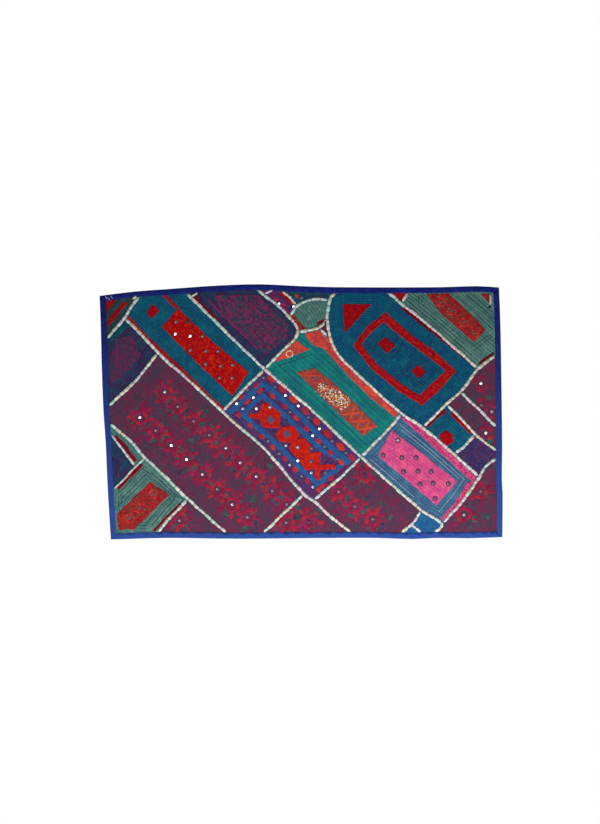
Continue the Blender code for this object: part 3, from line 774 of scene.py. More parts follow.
# On the emerald patch. An orange red satin band along its long seam, a block of the same satin near its top,
# and a long field of greyed red that carries the beads and the lattice.
lay_cloth("emerald_band",
          [(17, -180), (68, -167), (106, -197), (133, -247), (192, -313), (287, -397), (378, -471)],
          [(22, -192), (45, -224), (83, -235), (114, -266), (174, -334), (264, -423), (359, -499)],
          ORANGE_RED)
lay_cloth("emerald_block", [(-103, -288), (-42, -271), (9, -250), (40, -239)],
          [(-97, -281), (-57, -245), (-16, -205), (11, -231)], ORANGE_RED)
GREYED_RED = cloth("flecked emerald field", dye(152, 62, 62), dye(122, 60, 68), dye(178, 78, 66),
                   patch=40.0,
                   pattern=mottled((dye(160, 58, 60), dye(78, 100, 88), dye(190, 84, 66)), 150.0, 0.6))
lay_cloth("emerald_field", [(-17, -326), (66, -406), (154, -494), (239, -570)],
          [(55, -311), (135, -376), (214, -452), (292, -532)], GREYED_RED)

# On the small teal patch at the right. A red hexagon in its middle and two narrow tapes along its upper
# seams, turned under and stitched down.
lay_cloth("diamond_hexagon", [(528, -562), (534, -594), (556, -607)],
          [(553, -549), (579, -562), (581, -591)], APPLIED_RED, lift=0.9)
strip("diamond_tape_left", [(478, -534), (515, -499), (551, -471)], 14.0, DARK_RED)
strip("diamond_tape_right", [(572, -482), (608, -516), (651, -558)], 14.0, APPLIED_RED)

# On the slate patch. A field of plain pink cotton for the mirrors, and tapes of a mottled pink along two
# seams, which overlap at the corner.
lay_cloth("slate_field", [(293, -644), (408, -741), (515, -833)], [(345, -547), (478, -648), (596, -743)],
          PINK, "cloth_slate")
lay_cloth("slate_upper_tape", [(387, -485), (471, -548), (560, -626), (668, -725)],
          [(383, -502), (465, -575), (554, -656), (652, -744)], PINK_TAPE, "cloth_slate")
lay_cloth("slate_right_tape", [(632, -747), (587, -822), (530, -883)],
          [(663, -735), (611, -820), (554, -889)], PINK_TAPE, "cloth_slate", lift=0.8)

# On the blue patches. Pale blue bands, in two rings, go round a chain of orange red lozenges with grey
# middles. The lozenges touch and end in a cross, and small tapes lie along the seams of the sliver above.
strip("blue_band_outer_left", [(-276, -484), (-207, -425), (-139, -366)], 21.0, BAND_BLUE, "cloth_blue")
strip("blue_band_outer_right", [(-143, -368), (-63, -433), (-21, -472), (22, -516), (85, -584),
                                (163, -651), (188, -672)], 21.0, BAND_BLUE, "cloth_blue", lift=0.7)
strip("blue_band_inner_left", [(-223, -488), (-185, -450), (-143, -410)], 19.0, BAND_BLUE, "cloth_blue")
strip("blue_band_inner_right", [(-149, -412), (-114, -440), (-63, -489), (-21, -530), (22, -568),
                                (85, -624), (176, -672)], 20.0, BAND_BLUE, "cloth_blue", lift=0.7)
strip("blue_band_inner_low", [(-223, -484), (-181, -524), (-122, -573), (-69, -619), (-34, -658),
                              (15, -707), (70, -756)], 20.0, BAND_BLUE, "cloth_blue", lift=0.7)
strip("blue_band_inner_end", [(66, -752), (100, -720), (135, -695), (173, -667)], 20.0, BAND_BLUE,
      "cloth_blue")
lay_cloth("chain_arm", [(-200, -488), (-194, -501)], [(-150, -480), (-149, -505)], CHAIN_RED)
lay_cloth("chain_first", [(-150, -448), (-160, -490), (-147, -535)],
          [(-128, -440), (-73, -484), (-82, -541)], CHAIN_RED, lift=0.8)
lay_cloth("chain_second", [(-74, -535), (-95, -564), (-80, -592)], [(-27, -528), (-4, -562), (-23, -596)],
          CHAIN_RED, lift=0.8)
lay_cloth("chain_third", [(-27, -581), (-46, -611), (-21, -651)], [(17, -577), (41, -613), (24, -651)],
          CHAIN_RED, lift=0.8)
lay_cloth("chain_fourth", [(7, -636), (-6, -665), (17, -699)], [(51, -629), (74, -657), (49, -697)],
          CHAIN_RED, lift=0.8)
strip("chain_cross_down", [(66, -629), (64, -680), (65, -737)], 21.0, CHAIN_RED, lift=0.8)
strip("chain_cross_over", [(41, -682), (81, -687), (133, -686)], 20.0, CHAIN_RED, lift=0.95)
FRONTS.append(front_tree(LAID))
lay_cloth("chain_first_middle", [(-131, -507), (-114, -524)], [(-114, -490), (-97, -507)], GREY_BLUE,
          "cloth_blue", lift=0.4, step=2.5)
lay_cloth("chain_second_middle", [(-69, -562), (-52, -579)], [(-52, -545), (-35, -562)], GREY_BLUE,
          "cloth_blue", lift=0.4, step=2.5)
strip("blue_seam_tape", [(-78, -24), (-55, -43), (-29, -68)], 12.0, SEAM_RED)
strip("blue_sliver_edge", [(-112, -34), (-78, -68), (-42, -106)], 10.0, MAGENTA, "cloth_blue")
GREEN_BAND = cloth("dark green band", dye(14, 84, 92), dye(24, 66, 84), dye(24, 104, 96), patch=40.0)
strip("upper_left_band", [(-730, -201), (-690, -171), (-652, -138)], 24.0, GREEN_BAND, "cloth_plum")

# The embroidery and mirrors. Petals, leaves and ovals are worked in satin stitch, thick cotton laid side by
# side; the mirrors are small round glasses held by a stitched ring. One of each is modelled and the rest are
# its copies.
STITCH_SHADOW = (0.01, 0.005, 0.01, 1.0)
WORN, SILVER_GONE = dye(96, 60, 78), dye(70, 74, 80)
GLASS_ACROSS, GLASS_THICK, GLASS_LIFT = 10.0, 1.0, 1.4
RING_OUT, RING_THICK, RING_WAVE = 6.1, 1.5, 0.10
WIDE_RING = 1.3


def embroidery_finish(name, rough, fine, shine=0.12):
    """Thread in each stitch's own tint, with the stitches' ridges across it."""
    made, tree, base = new_finish(name)
    rows = in_rows(tree)
    place = on_piece(tree)
    fuzz = noise(tree, place, 420.0)
    lean = maths(tree, "MULTIPLY_ADD", rows["Y"], fine, times(tree, fuzz, 0.7))
    ridge = maths(tree, "PINGPONG", lean, 0.5)
    tint = put(tree, "Attribute", attribute_name="tint").outputs["Color"]
    worn = noise(tree, place, 110.0)
    colour = mixed(tree, spread(tree, ridge, 0.14, 0.0, 0.0, 0.5), tint, STITCH_SHADOW)
    colour = mixed(tree, spread(tree, worn, 0.5, 0.8, 0.0, 0.4), colour, WORN)
    tree.links.new(colour, base.inputs["Base Color"])
    tree.links.new(spread(tree, fuzz, 0.3, 0.7, *rough), base.inputs["Roughness"])
    height = plus(tree, times(tree, ridge, 2.0), fuzz)
    bump = put(tree, "Bump", {"Height": height, "Strength": 0.8, "Distance": 0.0004})
    tree.links.new(bump.outputs[0], base.inputs["Normal"])
    base.inputs["Sheen Weight"].default_value = 0.02
    base.inputs["Specular IOR Level"].default_value = shine
    return made


def glass_finish():
    """Old mirror glass, tinted per mirror bright or dull as a painted reflection, with grey spots where its
    silver has gone.
    """
    made, tree, base = new_finish("old mirror glass")
    place = on_piece(tree)
    spots = noise(tree, place, 260.0, 3.0)
    tint = put(tree, "Attribute", attribute_name="tint").outputs["Color"]
    colour = mixed(tree, spread(tree, spots, 0.55, 0.75, 0.0, 0.5), tint, SILVER_GONE)
    tree.links.new(colour, base.inputs["Base Color"])
    tree.links.new(spread(tree, spots, 0.4, 0.8, 0.12, 0.45), base.inputs["Roughness"])
    base.inputs["Metallic"].default_value = 0.9
    return made


def taken(made):
    """A modelled shape's places in millimetres and its faces, after the object itself is put away."""
    bpy.ops.object.mode_set(mode="OBJECT")
    mesh = made.data
    spots = np.array([tuple(vert.co) for vert in mesh.vertices])
    faces = [tuple(face.vertices) for face in mesh.polygons]
    bpy.data.objects.remove(made)
    return spots, faces


def petal_shape():
    """Half a flattened round that comes to a blunt point at one end."""
    bpy.ops.mesh.primitive_uv_sphere_add(segments=8, ring_count=6, radius=1.0,
                                         rotation=(0, math.radians(90), 0))
    bpy.ops.object.transform_apply(rotation=True)
    bpy.ops.object.mode_set(mode="EDIT")
    bpy.ops.mesh.select_all(action="SELECT")
    bpy.ops.mesh.bisect(plane_co=(0, 0, -0.05), plane_no=(0, 0, 1), use_fill=True, clear_inner=True)
    spots, faces = taken(bpy.context.object)
    spots[:, 1] *= 1 - 0.35 * np.clip(spots[:, 0], 0, 1) ** 2
    return spots, faces


def glass_shape():
    """A round glass with a softened edge, a little domed."""
    bpy.ops.mesh.primitive_cylinder_add(vertices=14, radius=GLASS_ACROSS / 2, depth=GLASS_THICK)
    bpy.ops.object.mode_set(mode="EDIT")
    made = bpy.context.object
    bpy.ops.mesh.select_all(action="DESELECT")
    bm = bmesh.from_edit_mesh(made.data)
    for face in bm.faces:
        face.select_set(face.normal.z > 0.9)
    bmesh.update_edit_mesh(made.data)
    bpy.ops.mesh.inset(thickness=0.7, depth=0.25)
    return taken(made)


def ring_shape():
    """A ring of stitches, thicker at every other one."""
    bpy.ops.mesh.primitive_torus_add(major_segments=20, minor_segments=5, major_radius=RING_OUT,
                                     minor_radius=RING_THICK)
    spots, faces = taken(bpy.context.object)
    turn = np.arctan2(spots[:, 1], spots[:, 0])
    grow = 1 + RING_WAVE * np.cos(turn * 10)
    spots *= np.stack([grow, grow, 0.75 * grow], axis=1)
    return spots, faces


def bead_shape():
    """A small round bead, used for knots too."""
    bpy.ops.mesh.primitive_uv_sphere_add(segments=7, ring_count=5, radius=1.0)
    return taken(bpy.context.object)


def stitch_shape():
    """One stitch: a short thread that dips into the cloth at both ends."""
    bpy.ops.mesh.primitive_cylinder_add(vertices=6, radius=0.5, depth=1.0, rotation=(0, math.radians(90), 0))
    bpy.ops.object.transform_apply(rotation=True)
    bpy.ops.object.mode_set(mode="EDIT")
    for cut in (-0.25, 0.25):
        bpy.ops.mesh.select_all(action="SELECT")
        bpy.ops.mesh.bisect(plane_co=(cut, 0, 0), plane_no=(1, 0, 0))
    spots, faces = taken(bpy.context.object)
    dip = np.abs(spots[:, 0]) > 0.4
    spots[dip, 2] -= 0.6
    spots[:, 2] += 0.35
    return spots, faces


PETAL, GLASS, RING, BEAD, STITCH = petal_shape(), glass_shape(), ring_shape(), bead_shape(), stitch_shape()


def copies(shape, spots, follow=True):
    """Copies of a shape, each at x and z, turned, sized, tinted and seated on the cloth under it."""
    local, shape_faces = shape
    places, faces, tints, maps = [], [], [], []
    for x, z, turn, length, width, height, tint in spots:
        start = len(places)
        level = cloth_front(x, z)
        cos, sin = math.cos(turn), math.sin(turn)
        for a, b, c in local * (length, width, height):
            at_x, at_z = x + a * cos - b * sin, z + a * sin + b * cos
            out = (cloth_front(at_x, at_z) if follow else level) + c
            places.append((at_x * MM, -out * MM, at_z * MM))
            tints.append(tint)
            maps.append((b * MM, a * MM))
        faces += [tuple(start + i for i in face) for face in shape_faces]
    return places, faces, tints, maps


def joined(parts):
    """Several lots of places, faces, tints and maps as one."""
    spots, faces, tints, maps = [], [], [], []
    for part in parts:
        start = len(spots)
        spots += part[0]
        faces += [tuple(start + i for i in face) for face in part[1]]
        tints += part[2]
        maps += part[3]
    return spots, faces, tints, maps


def tinted_piece(name, parts, finish):
    """A piece from places, faces, tints and maps, with its faces turned outwards."""
    spots, faces, tints, maps = parts
    mesh = bpy.data.meshes.new(name)
    mesh.from_pydata(spots, [], faces)
    bm = bmesh.new()
    bm.from_mesh(mesh)
    bmesh.ops.recalc_face_normals(bm, faces=bm.faces)
    bm.to_mesh(mesh)
    bm.free()
    colours = mesh.color_attributes.new("tint", "FLOAT_COLOR", "POINT")
    colours.data.foreach_set("color", np.array(tints, float).ravel())
    add_rows(mesh, np.array(maps, float))
    return show_piece(name, mesh, [finish])


COTTON_THREAD = embroidery_finish("satin stitch cotton", (0.55, 0.8), 900.0)
FINE_THREAD = embroidery_finish("sewing thread", (0.6, 0.85), 1600.0)
BEAD_GLASS = embroidery_finish("glass beads", (0.15, 0.3), 10.0, 0.4)
GLASS_FINISH = glass_finish()
# These four mirror tints stand for how much light each glass reflects, brightest first: painted reflection.
BRIGHT_REFLECTION, CLEAR_REFLECTION, DIM_REFLECTION, DARK_REFLECTION = dye(255, 255, 255), dye(150, 158, 162), dye(88, 94, 102), dye(40, 44, 60)

# The flowers of the burgundy patches. Petals of crimson and rose are stitched round each mirror on a ground
# of duller stitches, with green leaves and grey shadows between the flowers.
CRIMSONS = (dye(160, 28, 64), dye(142, 28, 62), dye(172, 38, 58), dye(154, 30, 78), dye(132, 30, 64))
GROUND_REDS = (dye(132, 30, 62), dye(118, 32, 66), dye(146, 30, 66))
GROUND_GREYS = (dye(74, 70, 82), dye(64, 72, 80), dye(86, 62, 80))
LEAVES = (dye(46, 88, 82), dye(38, 76, 84), dye(58, 96, 86))
SHADOWS = (dye(52, 60, 84), dye(60, 74, 88), dye(48, 46, 76))
BIG_MIRRORS = (
    ((-515, -402), CLEAR_REFLECTION), ((-466, -458), DIM_REFLECTION), ((-405, -513), DIM_REFLECTION), ((-346, -565), DIM_REFLECTION),
    ((-283, -615), CLEAR_REFLECTION), ((-229, -671), CLEAR_REFLECTION), ((-168, -723), CLEAR_REFLECTION), ((-107, -777), DIM_REFLECTION),
    ((-52, -828), DIM_REFLECTION), ((-610, -499), BRIGHT_REFLECTION), ((-549, -548), DIM_REFLECTION), ((-491, -605), BRIGHT_REFLECTION),
    ((-433, -658), BRIGHT_REFLECTION), ((-373, -715), CLEAR_REFLECTION), ((-316, -771), DIM_REFLECTION), ((-260, -830), CLEAR_REFLECTION),
    ((-202, -877), DIM_REFLECTION),
)
BIG_LEAVES = ((-580, -528), (-517, -573), (-417, -584), (-456, -706), (-402, -691), (-344, -747),
              (-268, -645), (-200, -695), (-120, -686), (-147, -752), (-186, -808), (-280, -864),
              (-169, -899), (-217, -919), (-364, -477), (-440, -485), (-379, -528), (-565, -585),
              (-489, -421), (-321, -592), (-82, -805))
LOW_MIRRORS = (((145, -780), DIM_REFLECTION), ((207, -836), DIM_REFLECTION), ((275, -884), DIM_REFLECTION), ((242, -716), DARK_REFLECTION),
               ((621, -869), CLEAR_REFLECTION), ((-460, -890), DIM_REFLECTION), ((-54, -898), DIM_REFLECTION), ((32, -893), DARK_REFLECTION),
               ((686, -779), DIM_REFLECTION), ((686, -370), BRIGHT_REFLECTION), ((688, -452), DIM_REFLECTION), ((727, -477), CLEAR_REFLECTION),
               ((704, -558), BRIGHT_REFLECTION))
LOW_LEAVES = ((176, -808), (239, -858), (313, -828), (306, -912), (331, -879), (192, -877),
              (256, -805), (663, -885), (705, -874), (644, -908), (-481, -912), (-435, -915), (-17, -874),
              (-90, -919), (66, -858), (119, -893), (716, -425), (651, -433), (674, -535), (720, -585))

GROUND_HIGH, PETAL_HIGH, SPRIG_HIGH, LEAF_HIGH = 0.7, 1.2, 1.1, 1.4
PETALS, FAR_PETALS = 8, 7
RIGHT_FROM, NARROW_FROM, NARROW_ABOVE = 600, 640, -600


def around(middle, turn, reach):
    """The place at a turn and a distance from a middle."""
    return middle[0] + math.cos(turn) * reach, middle[1] + math.sin(turn) * reach


def flower(middle, seed, petals, far):
    """Petals round a mirror on duller ground stitches, and some petals, leaves and shadows further out."""
    chance = random.Random(seed)
    first = chance.uniform(0, 6)
    spots = []
    for k in range(2 * far):
        turn = first + math.pi * k / far + chance.uniform(-0.3, 0.3)
        place = around(middle, turn, chance.uniform(24, 42))
        spots.append((*place, chance.uniform(0, 3), chance.uniform(9, 15), chance.uniform(6, 10),
                      GROUND_HIGH, chance.choice(GROUND_REDS if k % 2 else GROUND_GREYS)))
    for k in range(petals):
        turn = first + 2 * math.pi * k / petals + chance.uniform(-0.2, 0.2)
        place = around(middle, turn, chance.uniform(20, 26))
        lean = turn + math.pi / 2 + chance.uniform(-0.35, 0.35)
        spots.append((*place, lean, chance.uniform(11, 16), chance.uniform(6.5, 9.5), PETAL_HIGH,
                      chance.choice(CRIMSONS)))
    for k in range(far):
        turn = first + 0.5 + 2 * math.pi * k / far + chance.uniform(-0.3, 0.3)
        place = around(middle, turn, chance.uniform(31, 47))
        spots.append((*place, turn, chance.uniform(10, 17), chance.uniform(6, 9.5), PETAL_HIGH,
                      chance.choice(CRIMSONS)))
    for _ in range(far):
        place = around(middle, chance.uniform(0, 6.3), chance.uniform(27, 46))
        spots.append((*place, chance.uniform(0, 3), chance.uniform(4, 7), chance.uniform(2.5, 4), LEAF_HIGH,
                      chance.choice(LEAVES + SHADOWS)))
    return spots


def sprig(middle, seed, hues):
    """Four small leaves close together."""
    chance = random.Random(seed)
    x, z = middle
    return [(x + chance.uniform(-9, 9), z + chance.uniform(-9, 9), chance.uniform(0, 6),
             chance.uniform(7, 12), chance.uniform(3.5, 6), SPRIG_HIGH,
             chance.choice(hues)) for _ in range(4)]


petals = []
for seed, (middle, _) in enumerate(BIG_MIRRORS):
    petals += flower(middle, seed, PETALS, FAR_PETALS)
for seed, (middle, _) in enumerate(LOW_MIRRORS):
    narrow = middle[0] > NARROW_FROM and middle[1] > NARROW_ABOVE
    far = 0 if narrow else 3 if middle[0] > RIGHT_FROM else FAR_PETALS
    petals += flower(middle, seed + 50, 4 if narrow else PETALS, far)
for seed, middle in enumerate(BIG_LEAVES + LOW_LEAVES):
    petals += sprig(middle, seed + 90, LEAVES if seed % 3 else SHADOWS)
tinted_piece("burgundy_flowers", copies(PETAL, petals), COTTON_THREAD)

# The ovals of the blue patch. Rows of red ovals in satin stitch stand between its mirrors, the larger ones
# along the upper seam.
OVAL_REDS = (dye(186, 44, 50), dye(172, 36, 58), dye(200, 54, 44), dye(168, 42, 72))
OVALS_EDGE = ((-109, -351), (-69, -389), (-27, -431), (19, -475), (61, -514), (104, -562),
              (152, -610), (195, -651))
OVALS_DOWN = ((-107, -418), (-59, -458), (-17, -501), (22, -543), (68, -589), (114, -632),
              (155, -670), (-236, -489), (-192, -530), (-147, -573), (-105, -613), (-59, -655),
              (-20, -697), (25, -740), (70, -775))
OVALS_UP = ((-169, -376), (-154, -397), (-225, -420), (-202, -439), (116, -729), (81, -760))
UPHILL, DOWNHILL = 0.75, -0.84
ovals = []
for seed, middle in enumerate(OVALS_EDGE + OVALS_DOWN + OVALS_UP):
    chance = random.Random(seed)
    turn = UPHILL if middle in OVALS_UP else DOWNHILL
    long, wide = (19, 12.5) if middle in OVALS_EDGE else (13.5, 8.5)
    ovals.append((*middle, turn + chance.uniform(-0.15, 0.15), long * chance.uniform(0.9, 1.08),
                  wide * chance.uniform(0.9, 1.08), 1.6, OVAL_REDS[seed % 4]))
for middle, hue in zip(((-93, -51), (-65, -87), (-14, -38), (-63, -70)), OVAL_REDS):
    ovals.append((*middle, DOWNHILL, 9, 6, 1.4, hue))
tinted_piece("blue_patch_ovals", copies(PETAL, ovals), COTTON_THREAD)

# The flowers and knots of the red fields. Each flower has a greyed heart and five petals in satin stitch,
# with small knots of dull gold thread scattered round it.
GOLDS = (dye(150, 130, 76), dye(96, 112, 80), dye(170, 140, 110), dye(120, 100, 60))
FIELD_FLOWERS = ((532, -59), (575, -93), (621, -136), (659, -178), (-563, -790), (-612, -842), (-652, -881))
FIELD_REDS = (dye(184, 26, 40), dye(198, 40, 36), dye(170, 24, 50))
FIELD_HEART = dye(100, 84, 80)
FIELD_PETALS, FIELD_REACH, FIELD_KNOTS, KNOT_HIGH = 5, 15, 22, 1.9
knots, field_petals = [], []
for seed, middle in enumerate(FIELD_FLOWERS):
    chance = random.Random(seed)
    field_petals.append((*middle, 0.8, 8.0, 6.5, PETAL_HIGH, FIELD_HEART))
    for k in range(FIELD_PETALS):
        turn = 2 * math.pi * (k + 0.3) / FIELD_PETALS
        field_petals.append((*around(middle, turn, FIELD_REACH), turn + 1.57, 9.5, 6.0, PETAL_HIGH,
                             chance.choice(FIELD_REDS)))
    for _ in range(FIELD_KNOTS):
        place = around(middle, chance.uniform(0, 6.3), chance.uniform(10, 26))
        size = chance.uniform(1.4, 2.2)
        knots.append((*place, 0, size, size, KNOT_HIGH, chance.choice(GOLDS)))
tinted_piece("field_flowers", copies(PETAL, field_petals), COTTON_THREAD)
tinted_piece("gold_knots", copies(BEAD, knots, False), COTTON_THREAD)

# The beads of the long field. Small glass beads of cream, gold and rose are sewn close together in its
# middle, with one blue one among them, and nine more in a ring on the satin block.
CREAMS = (dye(232, 220, 186), dye(226, 190, 110), dye(240, 236, 226), dye(150, 168, 130), dye(220, 120, 110),
          dye(196, 160, 90), dye(160, 70, 90))
(LEFT, TOP), (RIGHT, BOTTOM) = (66, -376), (180, -456)
BEADS, BEADS_ASIDE, BEADS_SPREAD = 300, 27, 14
ACROSS_X, ACROSS_Z = 0.62, 0.78
BLUE_BEAD, BEAD_RING, RING_BEADS = (117, -399), (-42, -257), 9
chance = random.Random(7)
beads = []
for _ in range(BEADS):
    share = chance.betavariate(1.6, 1.3)
    aside = min(max(chance.gauss(0, BEADS_SPREAD), -BEADS_ASIDE), BEADS_ASIDE)
    x = LEFT + (RIGHT - LEFT) * share + aside * ACROSS_X
    z = TOP + (BOTTOM - TOP) * share + aside * ACROSS_Z
    size = chance.uniform(2.2, 3.4)
    beads.append((x, z, 0, size, size, size * 0.8, chance.choice(CREAMS)))
for k in range(RING_BEADS):
    beads.append((*around(BEAD_RING, 2 * math.pi * k / RING_BEADS, 12), 0, 3.4, 3.4, 2.4, CREAMS[k % 3]))
beads.append((*BLUE_BEAD, 0, 5.5, 5.5, 2.2, dye(120, 176, 200)))
tinted_piece("bead_field", copies(BEAD, beads, False), BEAD_GLASS)

# The lattice of the long field. Bars of orange satin stitch cross from edge to edge, thicker and brighter
# towards its lower end.
LATTICE_LEFT = ((-6, -336), (24, -364), (57, -395), (89, -425), (121, -458), (154, -488), (186, -516),
                (214, -545), (239, -564))
LATTICE_RIGHT = ((49, -315), (81, -340), (114, -364), (144, -391), (174, -420), (205, -450),
                 (235, -478), (262, -507), (287, -532))
ORANGES = (dye(214, 80, 46), dye(204, 70, 48), dye(190, 64, 58))
bars = []
for k in range(len(LATTICE_LEFT) - 1):
    width, hue = (5.2, ORANGES[0]) if k > 4 else (4.0, ORANGES[1 + k % 2])
    for one, other in ((LATTICE_LEFT, LATTICE_RIGHT), (LATTICE_RIGHT, LATTICE_LEFT)):
        (x, z), (to_x, to_z) = one[k], other[k + 1]
        turn, length = math.atan2(to_z - z, to_x - x), math.hypot(to_x - x, to_z - z)
        bars.append(((x + to_x) / 2, (z + to_z) / 2, turn, length / 2, width, 1.6, hue))
tinted_piece("orange_lattice", copies(PETAL, bars), COTTON_THREAD)

# The mirrors. Small round glasses, each tinted bright or dull as a painted reflection, are each held down by
# a ring of thread in the colour of what they are sewn to. Those of the pink field have wider rings.
ROSE_RINGS, BROWN_RINGS = dye(150, 24, 56), dye(96, 60, 50)
DARK_RINGS, BLUE_RINGS = dye(34, 38, 72), dye(44, 60, 110)
MIRRORS = [(middle, tint, ROSE_RINGS) for middle, tint in BIG_MIRRORS + LOW_MIRRORS]
MIRRORS += [(middle, tint, BROWN_RINGS) for middle, tint in (
    ((-473, -136), DIM_REFLECTION), ((-430, -136), DARK_REFLECTION), ((-476, -182), BRIGHT_REFLECTION), ((-419, -190), BRIGHT_REFLECTION),
    ((-372, -190), DIM_REFLECTION), ((-418, -243), DIM_REFLECTION), ((-360, -247), DIM_REFLECTION), ((-313, -247), DIM_REFLECTION), ((-360, -296), DIM_REFLECTION),
    ((-304, -304), DIM_REFLECTION), ((-258, -300), DIM_REFLECTION), ((-307, -349), DIM_REFLECTION), ((-260, -349), DIM_REFLECTION))]
MIRRORS += [(middle, tint, DARK_RINGS) for middle, tint in (
    ((370, -585), CLEAR_REFLECTION), ((313, -642), DIM_REFLECTION), ((385, -652), DIM_REFLECTION), ((439, -652), DIM_REFLECTION), ((391, -705), DIM_REFLECTION),
    ((446, -703), DIM_REFLECTION), ((496, -704), DIM_REFLECTION), ((454, -752), DIM_REFLECTION), ((504, -749), DIM_REFLECTION), ((562, -751), DIM_REFLECTION),
    ((511, -807), DIM_REFLECTION))]
MIRRORS += [(middle, tint, BLUE_RINGS) for middle, tint in (
    ((-242, -446), BRIGHT_REFLECTION), ((-179, -423), BRIGHT_REFLECTION), ((-219, -466), CLEAR_REFLECTION), ((-168, -466), BRIGHT_REFLECTION),
    ((-116, -460), CLEAR_REFLECTION), ((-57, -415), BRIGHT_REFLECTION), ((-96, -382), DIM_REFLECTION), ((-140, -348), DIM_REFLECTION),
    ((-8, -455), BRIGHT_REFLECTION), ((-200, -394), DIM_REFLECTION), ((-38, -478), DIM_REFLECTION), ((32, -497), DIM_REFLECTION),
    ((72, -542), BRIGHT_REFLECTION), ((46, -568), BRIGHT_REFLECTION), ((121, -588), DIM_REFLECTION), ((173, -633), DIM_REFLECTION),
    ((92, -609), DIM_REFLECTION), ((43, -616), DIM_REFLECTION), ((-10, -612), CLEAR_REFLECTION), ((-55, -606), CLEAR_REFLECTION),
    ((-122, -588), DIM_REFLECTION), ((-80, -636), DIM_REFLECTION), ((-10, -663), BRIGHT_REFLECTION), ((40, -666), DIM_REFLECTION),
    ((-41, -679), CLEAR_REFLECTION), ((41, -709), CLEAR_REFLECTION), ((47, -763), CLEAR_REFLECTION), ((142, -655), DIM_REFLECTION),
    ((95, -709), DIM_REFLECTION), ((5, -721), DIM_REFLECTION), ((-55, -512), DARK_REFLECTION), ((-105, -556), DARK_REFLECTION),
    ((-82, -67), BRIGHT_REFLECTION), ((-26, -77), BRIGHT_REFLECTION), ((5, -45), DIM_REFLECTION))]
glasses = [(*middle, 0.0, 1.0, 1.0, 1.0, tint) for middle, tint, _ in MIRRORS]
spots, faces, tints, maps = copies(GLASS, glasses, False)
lifted = [(x, y - GLASS_LIFT * MM, z) for x, y, z in spots]
tinted_piece("mirror_glasses", (lifted, faces, tints, maps), GLASS_FINISH)
rings = []
for i, (middle, _, hue) in enumerate(MIRRORS):
    wide = WIDE_RING if hue == DARK_RINGS else 1.0
    rings.append((*middle, 0.3 * i, wide, wide, 1.0, hue))
tinted_piece("mirror_rings", copies(RING, rings), COTTON_THREAD)

# The running stitches. Short stitches of dark, red or pale thread hold the frames, tapes and fields down and
# mark out the rows that show most.
STITCH_WANDER = 0.4


def running(line, pitch, stitch, thick, hue):
    """Stitches at even steps along a line, a little uneven."""
    line = np.asarray(line, float)
    marks = line_lengths(line)
    chance = random.Random(len(line) + int(marks[-1]))
    spots = []
    place = pitch / 2
    while place < marks[-1]:
        back, (x, z), ahead = ([float(np.interp(place + step, marks, line[:, axis])) for axis in (0, 1)]
                               for step in (-1, 0, 1))
        turn = math.atan2(ahead[1] - back[1], ahead[0] - back[0])
        off = chance.uniform(-STITCH_WANDER, STITCH_WANDER)
        spots.append((x - math.sin(turn) * off, z + math.cos(turn) * off, turn + chance.uniform(-0.08, 0.08),
                      stitch * chance.uniform(0.85, 1.1), thick, thick, hue))
        place += pitch * chance.uniform(0.92, 1.08)
    return spots


BLACK, PALE, RUST, CREAM = dye(24, 18, 34), dye(168, 190, 206), dye(96, 20, 60), dye(226, 210, 200)
INK, DEEP_TEAL, LOOSE_THREAD = dye(34, 44, 76), dye(6, 62, 84), dye(20, 16, 26)
FRAME_OUTER = ((323, -106), (416, -182), (507, -260), (579, -325), (522, -387), (461, -446),
               (374, -391), (271, -309), (209, -226), (256, -161), (323, -106))
FRAME_INNER = ((320, -127), (401, -199), (488, -264), (560, -321), (507, -376), (454, -423),
               (383, -374), (287, -298), (226, -222), (264, -167), (320, -127))
SAGE_LINES = (
    ((451, -34), (446, -73), (553, -163), (659, -245), (727, -192)),
    ((463, -34), (459, -66), (560, -150), (659, -230), (716, -186)),
    ((593, -38), (663, -98), (731, -167)),
    ((629, -34), (682, -79), (731, -127)),
    ((655, -34), (697, -70), (731, -100)),
    ((408, -57), (530, -163), (655, -266)),
    ((-686, -782), (-603, -693), (-565, -714), (-447, -813)),
    ((-682, -809), (-587, -714), (-475, -801), (-572, -915)),
    ((-694, -836), (-576, -729), (-489, -796), (-595, -915)),
)
SLATE_LINES = (
    ((376, -524), (492, -619), (621, -733), (575, -798), (528, -855)),
    ((382, -545), (492, -634), (602, -731)),
    ((262, -656), (344, -724), (431, -801)),
)
EMERALD_LINES = (
    ((-105, -311), (-33, -380), (66, -463), (169, -558), (233, -619)),
    ((-82, -304), (-6, -376), (93, -459), (195, -554), (252, -608)),
    ((74, -254), (169, -357), (264, -448), (336, -513)),
    ((-90, -304), (-21, -283), (43, -260)),
)
PINK_STITCHES = (
    ((387, -496), (469, -564), (558, -644), (659, -735)),
    ((649, -750), (598, -824), (545, -889)),
)
BAND_STITCHES = ((78, -182), (93, -193), (110, -216))
DIAMONDS = ((327, -224), (448, -324))
DIAMOND_ROWS = ((30, BLACK), (45, INK), (57, INK), (69, INK))
KNOT_PLACE = (719, -79)
stitches = []
for lines, sizes in (
    ((FRAME_OUTER, FRAME_INNER), (9.5, 6.0, 2.2, BLACK)),
    (SAGE_LINES, (10.0, 7.5, 2.3, INK)),
    (SLATE_LINES, (9.0, 8.0, 2.6, PALE)),
    (EMERALD_LINES, (11.0, 8.0, 2.2, DEEP_TEAL)),
    (PINK_STITCHES, (13.0, 6.0, 2.2, RUST)),
    ((BAND_STITCHES,), (6.5, 3.2, 2.6, CREAM)),
):
    for line in lines:
        stitches += running(line, *sizes)
for middle in DIAMONDS:
    for reach, hue in DIAMOND_ROWS:
        stitches += running([around(middle, k * math.pi / 2, reach) for k in range(5)], 9.0, 7.0, 2.0, hue)
